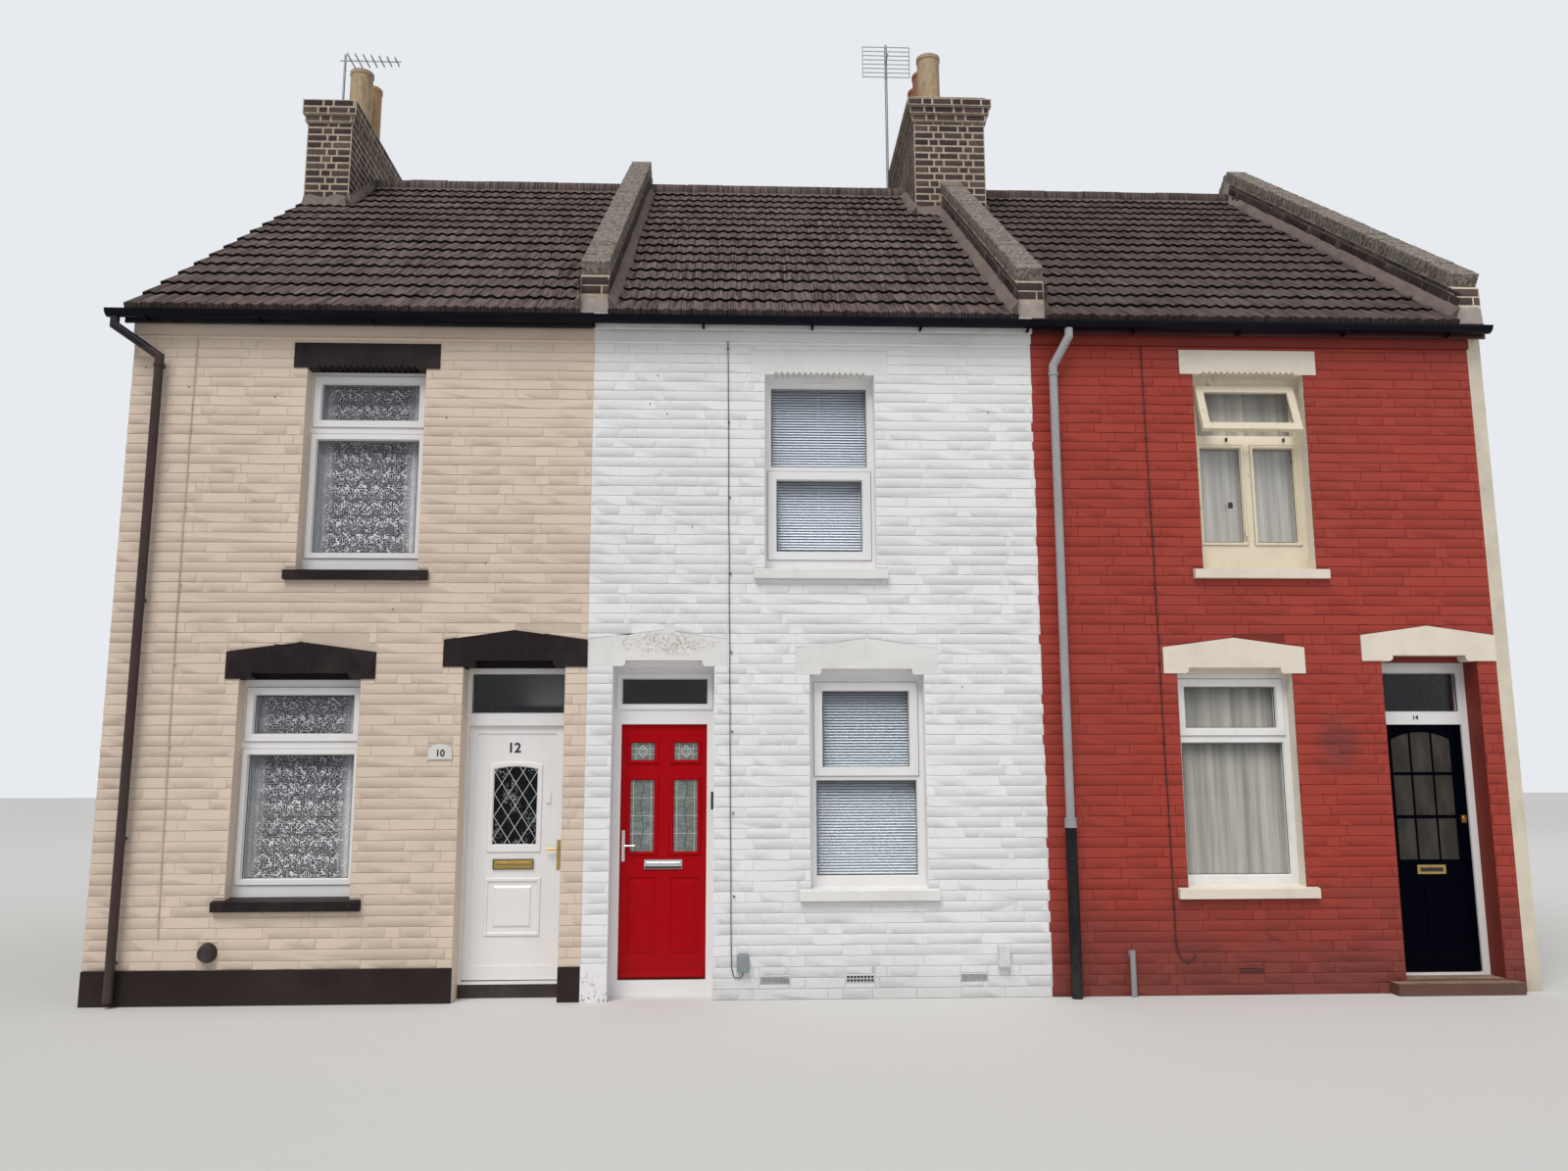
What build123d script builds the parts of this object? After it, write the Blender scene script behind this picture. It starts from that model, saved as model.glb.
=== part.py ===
"""A row of three terraced brick houses with painted fronts, in millimetres.

X runs along the row, to the right as seen from the street. Y runs into the houses.
Z is up. The origin lies on the ground, under the ridge, at the middle of the white house.
"""

from build123d import *
import math
import os

os.makedirs("parts", exist_ok=True)

# Plan of the row
cream_width = 3655
white_width = 3570
red_width = 3692
house_depth = 8200
wall = 260
party = 230
stock_wall = 230

# Storeys
ground_floor = 100
ground_ceiling = 2580
upper_floor_depth = 220

# Roof
roof_pitch = 37
nose_height = 5380
nose_reach = 136
rafter_reach = 65
roof_build_up = 150
tile_lap = 35
verge_overhang = 50
ridge_radius = 120

# Parapets on the party walls
parapet_rise = 390
coping_height = 140

# Eaves, measured down from the tiles' nose
fascia_drop = 15
fascia_height = 130
fascia_board = 20
band_drop = 215
band_reach = 30
gutter_drop = 68
gutter_radius = 56
gutter_wall = 4
gutter_strap = 3
gutter_overrun = 160

# Downpipes
pipe_radius = 34
pipe_standoff = 72
pipe_foot = 40
neck_start_drop = 190
neck_end_drop = 420
old_pipe_radius = 42
old_pipe_height = 1260
collar = 6
collar_height = 24
bracket_width = 30
outlet_overrun = 95
cream_pipe_offset = 238
red_outlet_offset = 285
red_pipe_offset = 165

# Windows of the cream house: offset from the gable, width, sill and head
cream_ground_offset = 1000
cream_ground_width = 920
cream_ground_sill = 765
cream_ground_head = 2410
cream_upper_offset = 1373
cream_upper_width = 940
cream_upper_sill = 475
cream_upper_head_drop = 475

# Windows of the white house: offset from the red house
white_ground_offset = 936
white_ground_width = 900
white_ground_sill = 815
white_ground_head = 2445
white_upper_offset = 1296
white_upper_width = 890
white_upper_sill = 495
white_upper_head_drop = 490

# Windows of the red house: offset from the white house
red_ground_offset = 1085
red_ground_width = 930
red_ground_sill = 810
red_ground_head = 2455
red_upper_offset = 1346
red_upper_width = 930
red_upper_sill = 510
red_upper_head_drop = 450

# Window joinery
window_setback = 120
window_depth = 65
glass = 24
glass_setback = 22
sash_reach = 12
glazing_bead = 8
vent_thickness = 45
vent_tilt = 19
vent_height = 430
vent_inset = 50
vent_border = 62
vent_hinge_drop = 80
vent_hole_inset = 60
vent_lap = 20
casement_bar = 115
casement_inset = 75
casement_foot = 233
casement_drop = 600
casement_sash = 30

# Doors: offset of the opening from the nearer party wall, width, head, height of the leaf
cream_door_offset = 170
cream_door_width = 783
cream_door_head = 2505
cream_leaf_height = 1934
white_door_offset = 200
white_door_width = 787
white_door_head = 2510
white_leaf_height = 1950
red_door_offset = 160
red_door_width = 784
red_door_head = 2555
red_leaf_height = 1940

# Door joinery
door_setback = 185
stop_depth = 20
stop_gap = 5
slim_jamb = 14
slim_lip = 10
wide_jamb = 40
wide_lip = 17
leaf_thickness = 44
hinge_gap = 5
latch_gap = 8
foot_gap = 8
threshold = 20

# Rear openings, which nobody sees from the street
rear_window_width = 900
rear_door_width = 780
rear_door_head = 2150
rear_frame_border = 60
rear_transom_drop = 640
rear_door_thickness = 60
rear_panel_border = 130
rear_panel_margin = 160
rear_rail = 200
rear_rail_middle = 1050

# Stone dressings
lintel_depth = 105
side_height = 208
apex_rise = 76
soffit_rise = 46
ogee_rise = 20
shoulder_flat = 50
shoulder = 93
flat_height = 205
door_bearing = 158
white_pier_bearing = 105
window_bearing = 108
tooth_count = 16
tooth_rise = 24
tooth_margin = 68
cream_lintel_reach = 12
white_lintel_reach = 2
red_lintel_reach = 10
sill_height = 92
sill_ear = 85
sill_reach = 50
sill_fall = 20
foot_block_height = 272
foot_block_reach = 30
plinth_height = 252
plinth_reach = 18
step_reach = 130
step_side = 135
tile_step_height = 90

# Chimney stacks
stack_depth = 1740
gable_stack_width = 490
party_stack_width = 810
stack_root = 970
gable_stack_rise = 308
party_stack_rise = 458
brick_course = 84
first_oversail = 25
second_oversail = 50
third_oversail = 75
top_course = 45
flaunching = 45

# Chimney pots and hoods
pot_radius = 131
pot_wall = 22
pot_rim = 8
pot_rim_height = 45
gable_pot_height = 890
party_pot_height = 660
pot_spacing = 350
gable_pot_start = 80
party_pot_start = -520
hood_radius = 130
hood_length = 340
hood_spacing = 420
row_inset = 38
hood_inset = 25

# Places along the row and into it
front = -house_depth / 2
rear = house_depth / 2
inside_front = front + wall
inside_rear = rear - wall
cream_white = -white_width / 2
white_red = white_width / 2
gable_face = cream_white - cream_width
row_end = white_red + red_width
party_face = row_end + party / 2
inside_gable = gable_face + stock_wall

# Heights of the storeys, the eaves and the ridge
first_floor = ground_ceiling + upper_floor_depth
fascia_top = nose_height - fascia_drop
fascia_bottom = fascia_top - fascia_height
band_bottom = nose_height - band_drop
gutter_top = nose_height - gutter_drop
slope = math.tan(math.radians(roof_pitch))
nose = front - nose_reach
rafter_end = front - rafter_reach
build_up = roof_build_up / math.cos(math.radians(roof_pitch))
lap = tile_lap / math.cos(math.radians(roof_pitch))
ridge_height = nose_height - slope * nose
stack_foot = ridge_height - stack_root
gable_neck = ridge_height + gable_stack_rise
party_neck = ridge_height + party_stack_rise
sky = ridge_height + roof_build_up + stack_root


def tile_top(y):
    """Height of the tiles' upper face at a distance y from the ridge line."""
    return ridge_height - slope * abs(y)


def rafter_foot(y):
    """Height of the roof's lower face at a distance y from the ridge line."""
    return tile_top(y) - build_up


class Window:
    """One window opening, seen from the street."""

    def __init__(self, left, width, sill_top, head):
        self.left = left
        self.right = left + width
        self.width = width
        self.sill_top = sill_top
        self.head = head
        self.middle = left + width / 2
        self.low = sill_top - sill_height


class Door:
    """One doorway with its frame, seen from the street."""

    def __init__(self, left, width, head, leaf_height, hinge_left, jamb, lip):
        self.left = left
        self.right = left + width
        self.head = head
        self.hinge_left = hinge_left
        self.jamb = jamb
        self.lip = lip
        gaps = (hinge_gap, latch_gap) if hinge_left else (latch_gap, hinge_gap)
        self.leaf_left = self.left + jamb + gaps[0]
        self.leaf_right = self.right - jamb - gaps[1]
        self.leaf_middle = (self.leaf_left + self.leaf_right) / 2
        self.leaf_foot = ground_floor + threshold + foot_gap
        self.leaf_top = self.leaf_foot + leaf_height
        self.middle = left + width / 2


class Panel:
    """An upright rectangle facing the street. With an arch radius its top is a low arc."""

    def __init__(self, left, right, low, high, arch=0, arch_x=0):
        self.left = left
        self.right = right
        self.low = low
        self.high = high
        self.arch = arch
        self.arch_x = arch_x

    def grown(self, by):
        """The same panel with its edges moved outwards."""
        arch = self.arch + by if self.arch else 0
        return Panel(self.left - by, self.right + by, self.low - by, self.high + by, arch,
                     self.arch_x)


cream_ground = Window(gable_face + cream_ground_offset, cream_ground_width,
                      cream_ground_sill, cream_ground_head)
cream_upper = Window(gable_face + cream_upper_offset, cream_upper_width,
                     first_floor + cream_upper_sill, nose_height - cream_upper_head_drop)
white_ground = Window(white_red - white_ground_offset - white_ground_width, white_ground_width,
                      white_ground_sill, white_ground_head)
white_upper = Window(white_red - white_upper_offset - white_upper_width, white_upper_width,
                     first_floor + white_upper_sill, nose_height - white_upper_head_drop)
red_ground = Window(white_red + red_ground_offset, red_ground_width,
                    red_ground_sill, red_ground_head)
red_upper = Window(white_red + red_upper_offset, red_upper_width,
                   first_floor + red_upper_sill, nose_height - red_upper_head_drop)
front_windows = [cream_ground, cream_upper, white_ground, white_upper, red_ground, red_upper]

cream_door = Door(cream_white - cream_door_offset - cream_door_width, cream_door_width,
                  cream_door_head, cream_leaf_height, True, slim_jamb, slim_lip)
white_door = Door(cream_white + white_door_offset, white_door_width,
                  white_door_head, white_leaf_height, False, wide_jamb, wide_lip)
red_door = Door(row_end - red_door_offset - red_door_width, red_door_width,
                red_door_head, red_leaf_height, True, wide_jamb, wide_lip)
front_doors = [cream_door, white_door, red_door]

# The unseen rear repeats the openings of each house, mirrored left to right.
houses = [(gable_face, cream_white), (cream_white, white_red), (white_red, row_end)]
rear_ground = []
rear_upper = []
rear_door_middles = []
for (low, high), below, above, door in zip(
        houses, front_windows[0::2], front_windows[1::2], front_doors):
    for window, storey in ((below, rear_ground), (above, rear_upper)):
        storey.append(Window(low + high - window.middle - rear_window_width / 2,
                             rear_window_width, window.sill_top, window.head))
    rear_door_middles.append(low + high - door.middle)


def block(x0, x1, y0, y1, z0, z1, mode=Mode.ADD):
    """A box between two corners, in the builder that is open."""
    with BuildSketch(Plane.XY.offset(z0)) as outline:
        with Locations(((x0 + x1) / 2, (y0 + y1) / 2)):
            Rectangle(x1 - x0, y1 - y0)
    extrude(outline.sketch, amount=z1 - z0, mode=mode)


def rod(x, y, z, height, radius, mode=Mode.ADD):
    """An upright round bar."""
    with BuildSketch(Plane.XY.offset(z)) as outline:
        with Locations((x, y)):
            Circle(radius)
    extrude(outline.sketch, amount=height, mode=mode)


def along_row(points, x0, x1, mode=Mode.ADD):
    """A profile of (y, z) points drawn across the row and drawn out from x0 to x1."""
    with BuildSketch(Plane.YZ.offset(x0)) as outline:
        with BuildLine():
            Polyline(*points, close=True)
        make_face()
    extrude(outline.sketch, amount=x1 - x0, mode=mode)


def facing(x, y, z):
    """The upright plane through a point that looks to the street, with X and Z as its axes."""
    return Plane((x, y, z), x_dir=(1, 0, 0), z_dir=(0, -1, 0))


def outline_of(panel, y):
    """The outline of a panel on the upright plane at y."""
    with BuildSketch(facing(0, y, 0)) as outline:
        with Locations(((panel.left + panel.right) / 2, (panel.low + panel.high) / 2)):
            Rectangle(panel.right - panel.left, panel.high - panel.low)
        if panel.arch:
            with Locations((panel.arch_x, panel.high - panel.arch)):
                Circle(panel.arch, mode=Mode.INTERSECT)
    return outline.sketch


def raised(panel, y, reach, bevel=0):
    """A plate that stands out from the plane at y by its reach, with bevelled edges."""
    extrude(outline_of(panel, y), amount=reach, taper=math.degrees(math.atan2(bevel, reach)))


def sunk(panel, y, depth, bevel=0):
    """A recess cut back from the plane at y, wider at its mouth by the bevel."""
    extrude(outline_of(panel.grown(-bevel), y + depth), amount=depth, mode=Mode.SUBTRACT,
            taper=-math.degrees(math.atan2(bevel, depth)))


def pierced(panel, y0, y1):
    """A straight hole from y0 back to y1."""
    extrude(outline_of(panel, y1), amount=y1 - y0, mode=Mode.SUBTRACT)


def window_hole(w, y0, y1):
    """The hole of a window, down to the underside of its sill."""
    block(w.left, w.right, y0, y1, w.low, w.head, Mode.SUBTRACT)


# Lintels
def lintel_plane(w):
    """The upright plane at the back of a lintel, with its origin at the opening's head."""
    return facing((w.left + w.right) / 2, front + lintel_depth, w.head)


def pediment(w, left_bearing, right_bearing, reach):
    """A stone lintel with a low gabled top and a soffit that steps up between shoulders."""
    half = (w.right - w.left) / 2
    left = -half - left_bearing
    right = half + right_bearing
    inner = half - shoulder
    flat = half - shoulder_flat
    ease_x = (flat - inner) * math.cos(math.radians(45))
    ease_z = ogee_rise * (1 - math.cos(math.radians(45)))
    with BuildSketch(lintel_plane(w)) as outline:
        with BuildLine():
            Polyline((flat, 0), (right, 0), (right, side_height), (0, side_height + apex_rise),
                     (left, side_height), (left, 0), (-flat, 0))
            ThreePointArc((-flat, 0), (-flat + ease_x, ease_z), (-inner, ogee_rise))
            Polyline((-inner, ogee_rise), (-inner, soffit_rise), (inner, soffit_rise),
                     (inner, ogee_rise))
            ThreePointArc((inner, ogee_rise), (flat - ease_x, ease_z), (flat, 0))
        make_face()
    extrude(outline.sketch, amount=lintel_depth + reach)


def toothed(w, bearing, reach):
    """A flat lintel with a row of small pointed notches along its lower edge."""
    end = w.width / 2 + bearing
    pitch = (w.width - 2 * tooth_margin) / tooth_count
    first = -pitch * tooth_count / 2
    points = [(-end, 0), (first, 0)]
    for tooth in range(tooth_count):
        points.append((first + pitch * (tooth + 0.5), tooth_rise))
        points.append((first + pitch * (tooth + 1), 0))
    points += [(end, 0), (end, flat_height), (-end, flat_height)]
    with BuildSketch(lintel_plane(w)) as outline:
        with BuildLine():
            Polyline(*points, close=True)
        make_face()
    extrude(outline.sketch, amount=lintel_depth + reach)


def pediment_pocket(w, left_bearing, right_bearing):
    """The pocket in the outer half of the wall that a gabled lintel sits in."""
    half = (w.right - w.left) / 2
    left = -half - left_bearing
    right = half + right_bearing
    with BuildSketch(lintel_plane(w)) as outline:
        with BuildLine():
            Polyline((left, 0), (right, 0), (right, side_height), (0, side_height + apex_rise),
                     (left, side_height), close=True)
        make_face()
    extrude(outline.sketch, amount=lintel_depth, mode=Mode.SUBTRACT)


def flat_pocket(w, y0, y1):
    """The pocket that a flat lintel sits in."""
    block(w.left - window_bearing, w.right + window_bearing, y0, y1, w.head,
          w.head + flat_height, Mode.SUBTRACT)


# How far each door lintel runs past its opening: to the end of its house on the pier's side
door_bearings = {cream_door: (door_bearing, cream_door_offset),
                 white_door: (white_door_offset, white_pier_bearing),
                 red_door: (door_bearing, red_door_offset)}
both_sides = (window_bearing, window_bearing)

# Front walls, each split beside and over its doorway
parapet_seat = rafter_foot(front - band_reach)
stack_half = stack_depth / 2


def lower_wall(x0, x1, window, split):
    """The ground storey on the window's side of a front doorway."""
    block(x0, x1, front, inside_front, 0, split)
    window_hole(window, front, inside_front)
    pediment_pocket(window, *both_sides)


def upper_wall(x0, x1, upper_window, lower_window, door, party_left):
    """The wall over the doorway, with the corbelled band that carries the rafters."""
    band = front - band_reach
    along_row([(inside_front, door.head), (inside_front, rafter_foot(inside_front)),
               (band, rafter_foot(band)), (band, band_bottom), (front, band_bottom),
               (front, door.head)], x0, x1)
    window_hole(upper_window, front, inside_front)
    window_hole(lower_window, front, inside_front)
    flat_pocket(upper_window, front, front + lintel_depth)
    pediment_pocket(lower_window, *both_sides)
    pediment_pocket(door, *door_bearings[door])
    block(x1 - party / 2, x1, band, inside_front, parapet_seat, sky, Mode.SUBTRACT)
    if party_left:
        block(x0, x0 + party / 2, band, inside_front, parapet_seat, sky, Mode.SUBTRACT)


with BuildPart() as cream_wall_lower:
    lower_wall(gable_face, cream_door.left, cream_ground, cream_door.head)
    block(cream_door.right, cream_white, front, inside_front, 0, cream_door.head)
cream_wall_lower.part.label = "cream_wall_lower"
export_step(cream_wall_lower.part, "parts/cream_wall_lower.step")

with BuildPart() as cream_wall_upper:
    upper_wall(gable_face, cream_white, cream_upper, cream_ground, cream_door, False)
cream_wall_upper.part.label = "cream_wall_upper"
export_step(cream_wall_upper.part, "parts/cream_wall_upper.step")

with BuildPart() as white_wall_lower:
    lower_wall(white_door.right, white_red, white_ground, white_door.head)
    block(cream_white, white_door.left, front, inside_front, 0, white_door.head)
    block(cream_white, white_door.left, front - foot_block_reach, front, 0, foot_block_height)
white_wall_lower.part.label = "white_wall_lower"
export_step(white_wall_lower.part, "parts/white_wall_lower.step")

with BuildPart() as white_wall_upper:
    upper_wall(cream_white, white_red, white_upper, white_ground, white_door, True)
white_wall_upper.part.label = "white_wall_upper"
export_step(white_wall_upper.part, "parts/white_wall_upper.step")

with BuildPart() as red_wall_lower:
    lower_wall(white_red, red_door.left, red_ground, red_door.head)
    block(red_door.right, row_end, front, inside_front, 0, red_door.head)
red_wall_lower.part.label = "red_wall_lower"
export_step(red_wall_lower.part, "parts/red_wall_lower.step")

with BuildPart() as red_wall_upper:
    upper_wall(white_red, row_end, red_upper, red_ground, red_door, True)
red_wall_upper.part.label = "red_wall_upper"
export_step(red_wall_upper.part, "parts/red_wall_upper.step")


# Gable and party walls
def party_wall(middle):
    """A party wall that rises through the roof as a sloping parapet."""
    top = parapet_rise - coping_height
    along_row([(inside_front, 0), (inside_front, parapet_seat), (rafter_end, parapet_seat),
               (rafter_end, tile_top(rafter_end) + top), (0, tile_top(0) + top),
               (-rafter_end, tile_top(rafter_end) + top), (-rafter_end, parapet_seat),
               (inside_rear, parapet_seat), (inside_rear, 0)],
              middle - party / 2, middle + party / 2)


with BuildPart() as gable_wall:
    along_row([(inside_front, 0), (inside_front, rafter_foot(inside_front)), (0, rafter_foot(0)),
               (inside_rear, rafter_foot(inside_rear)), (inside_rear, 0)],
              gable_face, inside_gable)
    block(gable_face, inside_gable, -stack_half, stack_half, stack_foot, sky, Mode.SUBTRACT)
gable_wall.part.label = "gable_wall"
export_step(gable_wall.part, "parts/gable_wall.step")

with BuildPart() as cream_white_party_wall:
    party_wall(cream_white)
cream_white_party_wall.part.label = "cream_white_party_wall"
export_step(cream_white_party_wall.part, "parts/cream_white_party_wall.step")

with BuildPart() as white_red_party_wall:
    party_wall(white_red)
    block(white_red - party / 2, white_red + party / 2, -stack_half, stack_half,
          stack_foot, sky, Mode.SUBTRACT)
white_red_party_wall.part.label = "white_red_party_wall"
export_step(white_red_party_wall.part, "parts/white_red_party_wall.step")

with BuildPart() as end_party_wall:
    party_wall(row_end)
    block(row_end, party_face, front, inside_front, 0, parapet_seat)
    block(row_end, party_face, inside_rear, rear, 0, parapet_seat)
end_party_wall.part.label = "end_party_wall"
export_step(end_party_wall.part, "parts/end_party_wall.step")

# Rear walls, split like the front ones at the heads of their doors
with BuildPart() as rear_wall_lower:
    block(gable_face, row_end, inside_rear, rear, 0, rear_door_head)
    for window in rear_ground:
        window_hole(window, inside_rear, rear)
    for middle in rear_door_middles:
        block(middle - rear_door_width / 2, middle + rear_door_width / 2, inside_rear, rear,
              0, rear_door_head, Mode.SUBTRACT)
rear_wall_lower.part.label = "rear_wall_lower"
export_step(rear_wall_lower.part, "parts/rear_wall_lower.step")

with BuildPart() as rear_wall_upper:
    rear_band = rear + band_reach
    along_row([(inside_rear, rear_door_head), (inside_rear, rafter_foot(inside_rear)),
               (rear_band, rafter_foot(rear_band)), (rear_band, band_bottom), (rear, band_bottom),
               (rear, rear_door_head)], gable_face, row_end)
    for window in rear_ground + rear_upper:
        window_hole(window, inside_rear, rear)
        flat_pocket(window, rear - lintel_depth, rear)
    for middle in rear_door_middles:
        block(middle - rear_door_width / 2 - window_bearing,
              middle + rear_door_width / 2 + window_bearing, rear - lintel_depth, rear,
              rear_door_head, rear_door_head + flat_height, Mode.SUBTRACT)
    for middle in (cream_white, white_red, row_end):
        block(middle - party / 2, middle + party / 2, inside_rear, rear_band,
              parapet_seat, sky, Mode.SUBTRACT)
rear_wall_upper.part.label = "rear_wall_upper"
export_step(rear_wall_upper.part, "parts/rear_wall_upper.step")

# Floors of the three houses
rooms = [(inside_gable, cream_white - party / 2),
         (cream_white + party / 2, white_red - party / 2),
         (white_red + party / 2, row_end - party / 2)]

with BuildPart() as ground_floors:
    for x0, x1 in rooms:
        block(x0, x1, inside_front, inside_rear, 0, ground_floor)
ground_floors.part.label = "ground_floors"
export_step(ground_floors.part, "parts/ground_floors.step")

with BuildPart() as upper_floors:
    for x0, x1 in rooms:
        block(x0, x1, inside_front, inside_rear, ground_ceiling, first_floor)
upper_floors.part.label = "upper_floors"
export_step(upper_floors.part, "parts/upper_floors.step")

# Roof slopes between the parapets, cut round the chimney stacks
bays = [(gable_face - verge_overhang, cream_white - party / 2), rooms[1], rooms[2]]
gable_stack = (gable_face, gable_face + gable_stack_width)
party_stack = (white_red - party_stack_width / 2, white_red + party_stack_width / 2)


def cut_round_stacks():
    """Clears the two stacks out of what lies at the ridge."""
    for x0, x1 in (gable_stack, party_stack):
        block(x0, x1, -stack_half, stack_half, stack_foot, sky, Mode.SUBTRACT)


def roof_slope(side):
    """Three bays of roof on one side of the ridge: -1 is the street side."""
    for x0, x1 in bays:
        along_row([(side * -nose, tile_top(nose)), (0, tile_top(0)), (0, rafter_foot(0)),
                   (side * -rafter_end, rafter_foot(rafter_end)),
                   (side * -rafter_end, tile_top(rafter_end) - lap),
                   (side * -nose, tile_top(nose) - lap)], x0, x1)
    cut_round_stacks()


with BuildPart() as front_roof_slopes:
    roof_slope(-1)
front_roof_slopes.part.label = "front_roof_slopes"
export_step(front_roof_slopes.part, "parts/front_roof_slopes.step")

with BuildPart() as rear_roof_slopes:
    roof_slope(1)
rear_roof_slopes.part.label = "rear_roof_slopes"
export_step(rear_roof_slopes.part, "parts/rear_roof_slopes.step")

with BuildPart() as ridge_tiles:
    for x0, x1 in bays:
        with BuildSketch(Plane.YZ.offset(x0)) as saddle:
            with Locations((0, ridge_height - ridge_radius / 3)):
                Circle(ridge_radius)
            with BuildLine():
                Polyline((-house_depth, tile_top(house_depth)), (0, ridge_height),
                         (house_depth, tile_top(house_depth)), close=True)
            make_face(mode=Mode.SUBTRACT)
        extrude(saddle.sketch, amount=x1 - x0)
    cut_round_stacks()
ridge_tiles.part.label = "ridge_tiles"
export_step(ridge_tiles.part, "parts/ridge_tiles.step")

with BuildPart() as parapet_copings:
    bed = parapet_rise - coping_height
    for middle in (cream_white, white_red, row_end):
        along_row([(rafter_end, tile_top(rafter_end) + bed), (0, tile_top(0) + bed),
                   (-rafter_end, tile_top(rafter_end) + bed),
                   (-rafter_end, tile_top(rafter_end) + parapet_rise),
                   (0, tile_top(0) + parapet_rise),
                   (rafter_end, tile_top(rafter_end) + parapet_rise)],
                  middle - party / 2, middle + party / 2)
    cut_round_stacks()
parapet_copings.part.label = "parapet_copings"
export_step(parapet_copings.part, "parts/parapet_copings.step")

# Chimney stacks: each course is its height and how far it stands out from the shaft
gable_courses = [(brick_course, first_oversail), (2 * brick_course, second_oversail)]
party_courses = [(brick_course, first_oversail), (brick_course, second_oversail),
                 (brick_course, third_oversail), (top_course, first_oversail)]


def cap_top(neck, courses):
    """Height of the mortar flaunching that the pots stand in."""
    return neck + sum(height for height, reach in courses) + flaunching


def stack(x0, x1, neck, courses):
    """A brick stack: plain shaft, oversailing courses and sloped mortar flaunching."""
    block(x0, x1, -stack_half, stack_half, stack_foot, neck)
    z = neck
    for height, reach in courses:
        block(x0 - reach, x1 + reach, -stack_half - reach, stack_half + reach, z, z + height)
        z += height
    with BuildSketch(Plane.XY.offset(z)) as bed:
        with Locations(((x0 + x1) / 2, 0)):
            Rectangle(x1 - x0, stack_depth)
    extrude(bed.sketch, amount=flaunching, taper=45)


with BuildPart() as gable_chimney:
    stack(*gable_stack, gable_neck, gable_courses)
gable_chimney.part.label = "gable_chimney"
export_step(gable_chimney.part, "parts/gable_chimney.step")

with BuildPart() as party_chimney:
    stack(*party_stack, party_neck, party_courses)
party_chimney.part.label = "party_chimney"
export_step(party_chimney.part, "parts/party_chimney.step")

# Chimney pots on the gable stack, and pots and half-round hoods on the party stack
gable_cap_top = cap_top(gable_neck, gable_courses)
party_cap_top = cap_top(party_neck, party_courses)
pot_row = party_stack_width / 4 - row_inset
gable_pot_places = [(gable_face + gable_stack_width / 2, gable_pot_start + pot_spacing * step)
                    for step in range(2)]
party_pot_places = [(white_red - pot_row, party_pot_start + pot_spacing * step)
                    for step in range(3)]
hood_places = [(white_red + pot_row - hood_inset, party_pot_start + hood_spacing * step)
               for step in range(2)]


def pot(x, y, z, height):
    """A round clay pot with a rolled rim, open at the top and bedded on the cap."""
    rim = pot_radius + pot_rim
    bore = pot_radius - pot_wall
    with BuildSketch(facing(x, y, z)) as half:
        with BuildLine():
            Polyline((0, 0), (pot_radius, 0), (pot_radius, height - pot_rim_height),
                     (rim, height - pot_rim_height), (rim, height), (bore, height),
                     (bore, pot_rim_height), (0, pot_rim_height), close=True)
        make_face()
    revolve(half.sketch, axis=Axis((x, y, z), (0, 0, 1)))


with BuildPart() as chimney_pots:
    for x, y in gable_pot_places:
        pot(x, y, gable_cap_top, gable_pot_height)
    for x, y in party_pot_places:
        pot(x, y, party_cap_top, party_pot_height)
    for x, y in hood_places:
        with BuildSketch(facing(0, y + hood_length, 0)) as arch:
            with Locations((x, party_cap_top)):
                Circle(hood_radius)
                Circle(hood_radius - pot_wall, mode=Mode.SUBTRACT)
                with Locations((0, -hood_radius / 2)):
                    Rectangle(2 * hood_radius, hood_radius, mode=Mode.SUBTRACT)
        extrude(arch.sketch, amount=hood_length)
chimney_pots.part.label = "chimney_pots"
export_step(chimney_pots.part, "parts/chimney_pots.step")

# Lintels over the openings
with BuildPart() as front_lintels:
    for ground, upper, door, reach in (
            (cream_ground, cream_upper, cream_door, cream_lintel_reach),
            (white_ground, white_upper, white_door, white_lintel_reach),
            (red_ground, red_upper, red_door, red_lintel_reach)):
        pediment(ground, *both_sides, reach)
        pediment(door, *door_bearings[door], reach)
        toothed(upper, window_bearing, reach)
front_lintels.part.label = "front_lintels"
export_step(front_lintels.part, "parts/front_lintels.step")

with BuildPart() as rear_lintels:
    rear_lintel_front = rear - lintel_depth
    for window in rear_ground + rear_upper:
        block(window.left - window_bearing, window.right + window_bearing, rear_lintel_front,
              rear, window.head, window.head + flat_height)
    for middle in rear_door_middles:
        half = rear_door_width / 2 + window_bearing
        block(middle - half, middle + half, rear_lintel_front, rear,
              rear_door_head, rear_door_head + flat_height)
rear_lintels.part.label = "rear_lintels"
export_step(rear_lintels.part, "parts/rear_lintels.step")


def sill(w, side):
    """A stone sill with ears past the opening. Side -1 is the street side."""
    face = side * rear
    nose_at = side * (rear + sill_reach)
    inner = side * (rear - wall)
    fall_at = side * (rear - window_setback)
    face_top = w.sill_top - sill_fall / 2
    along_row([(nose_at, w.low), (nose_at, w.sill_top - sill_fall), (face, face_top),
               (face, w.low)], w.left - sill_ear, w.right + sill_ear)
    along_row([(face, w.low), (face, face_top), (fall_at, w.sill_top),
               (inner, w.sill_top), (inner, w.low)], w.left, w.right)


with BuildPart() as window_sills:
    for window in front_windows:
        sill(window, -1)
    for window in rear_ground + rear_upper:
        sill(window, 1)
window_sills.part.label = "window_sills"
export_step(window_sills.part, "parts/window_sills.step")

# Window frames: each light has a pane, and an opening light a sash that stands proud
frame_front = front + window_setback
frame_back = frame_front + window_depth
glass_front = frame_front + glass_setback


class Light:
    """A pane of a window, with the width of its sash where it opens."""

    def __init__(self, pane, sash=0):
        self.pane = pane
        self.sash = sash


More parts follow.
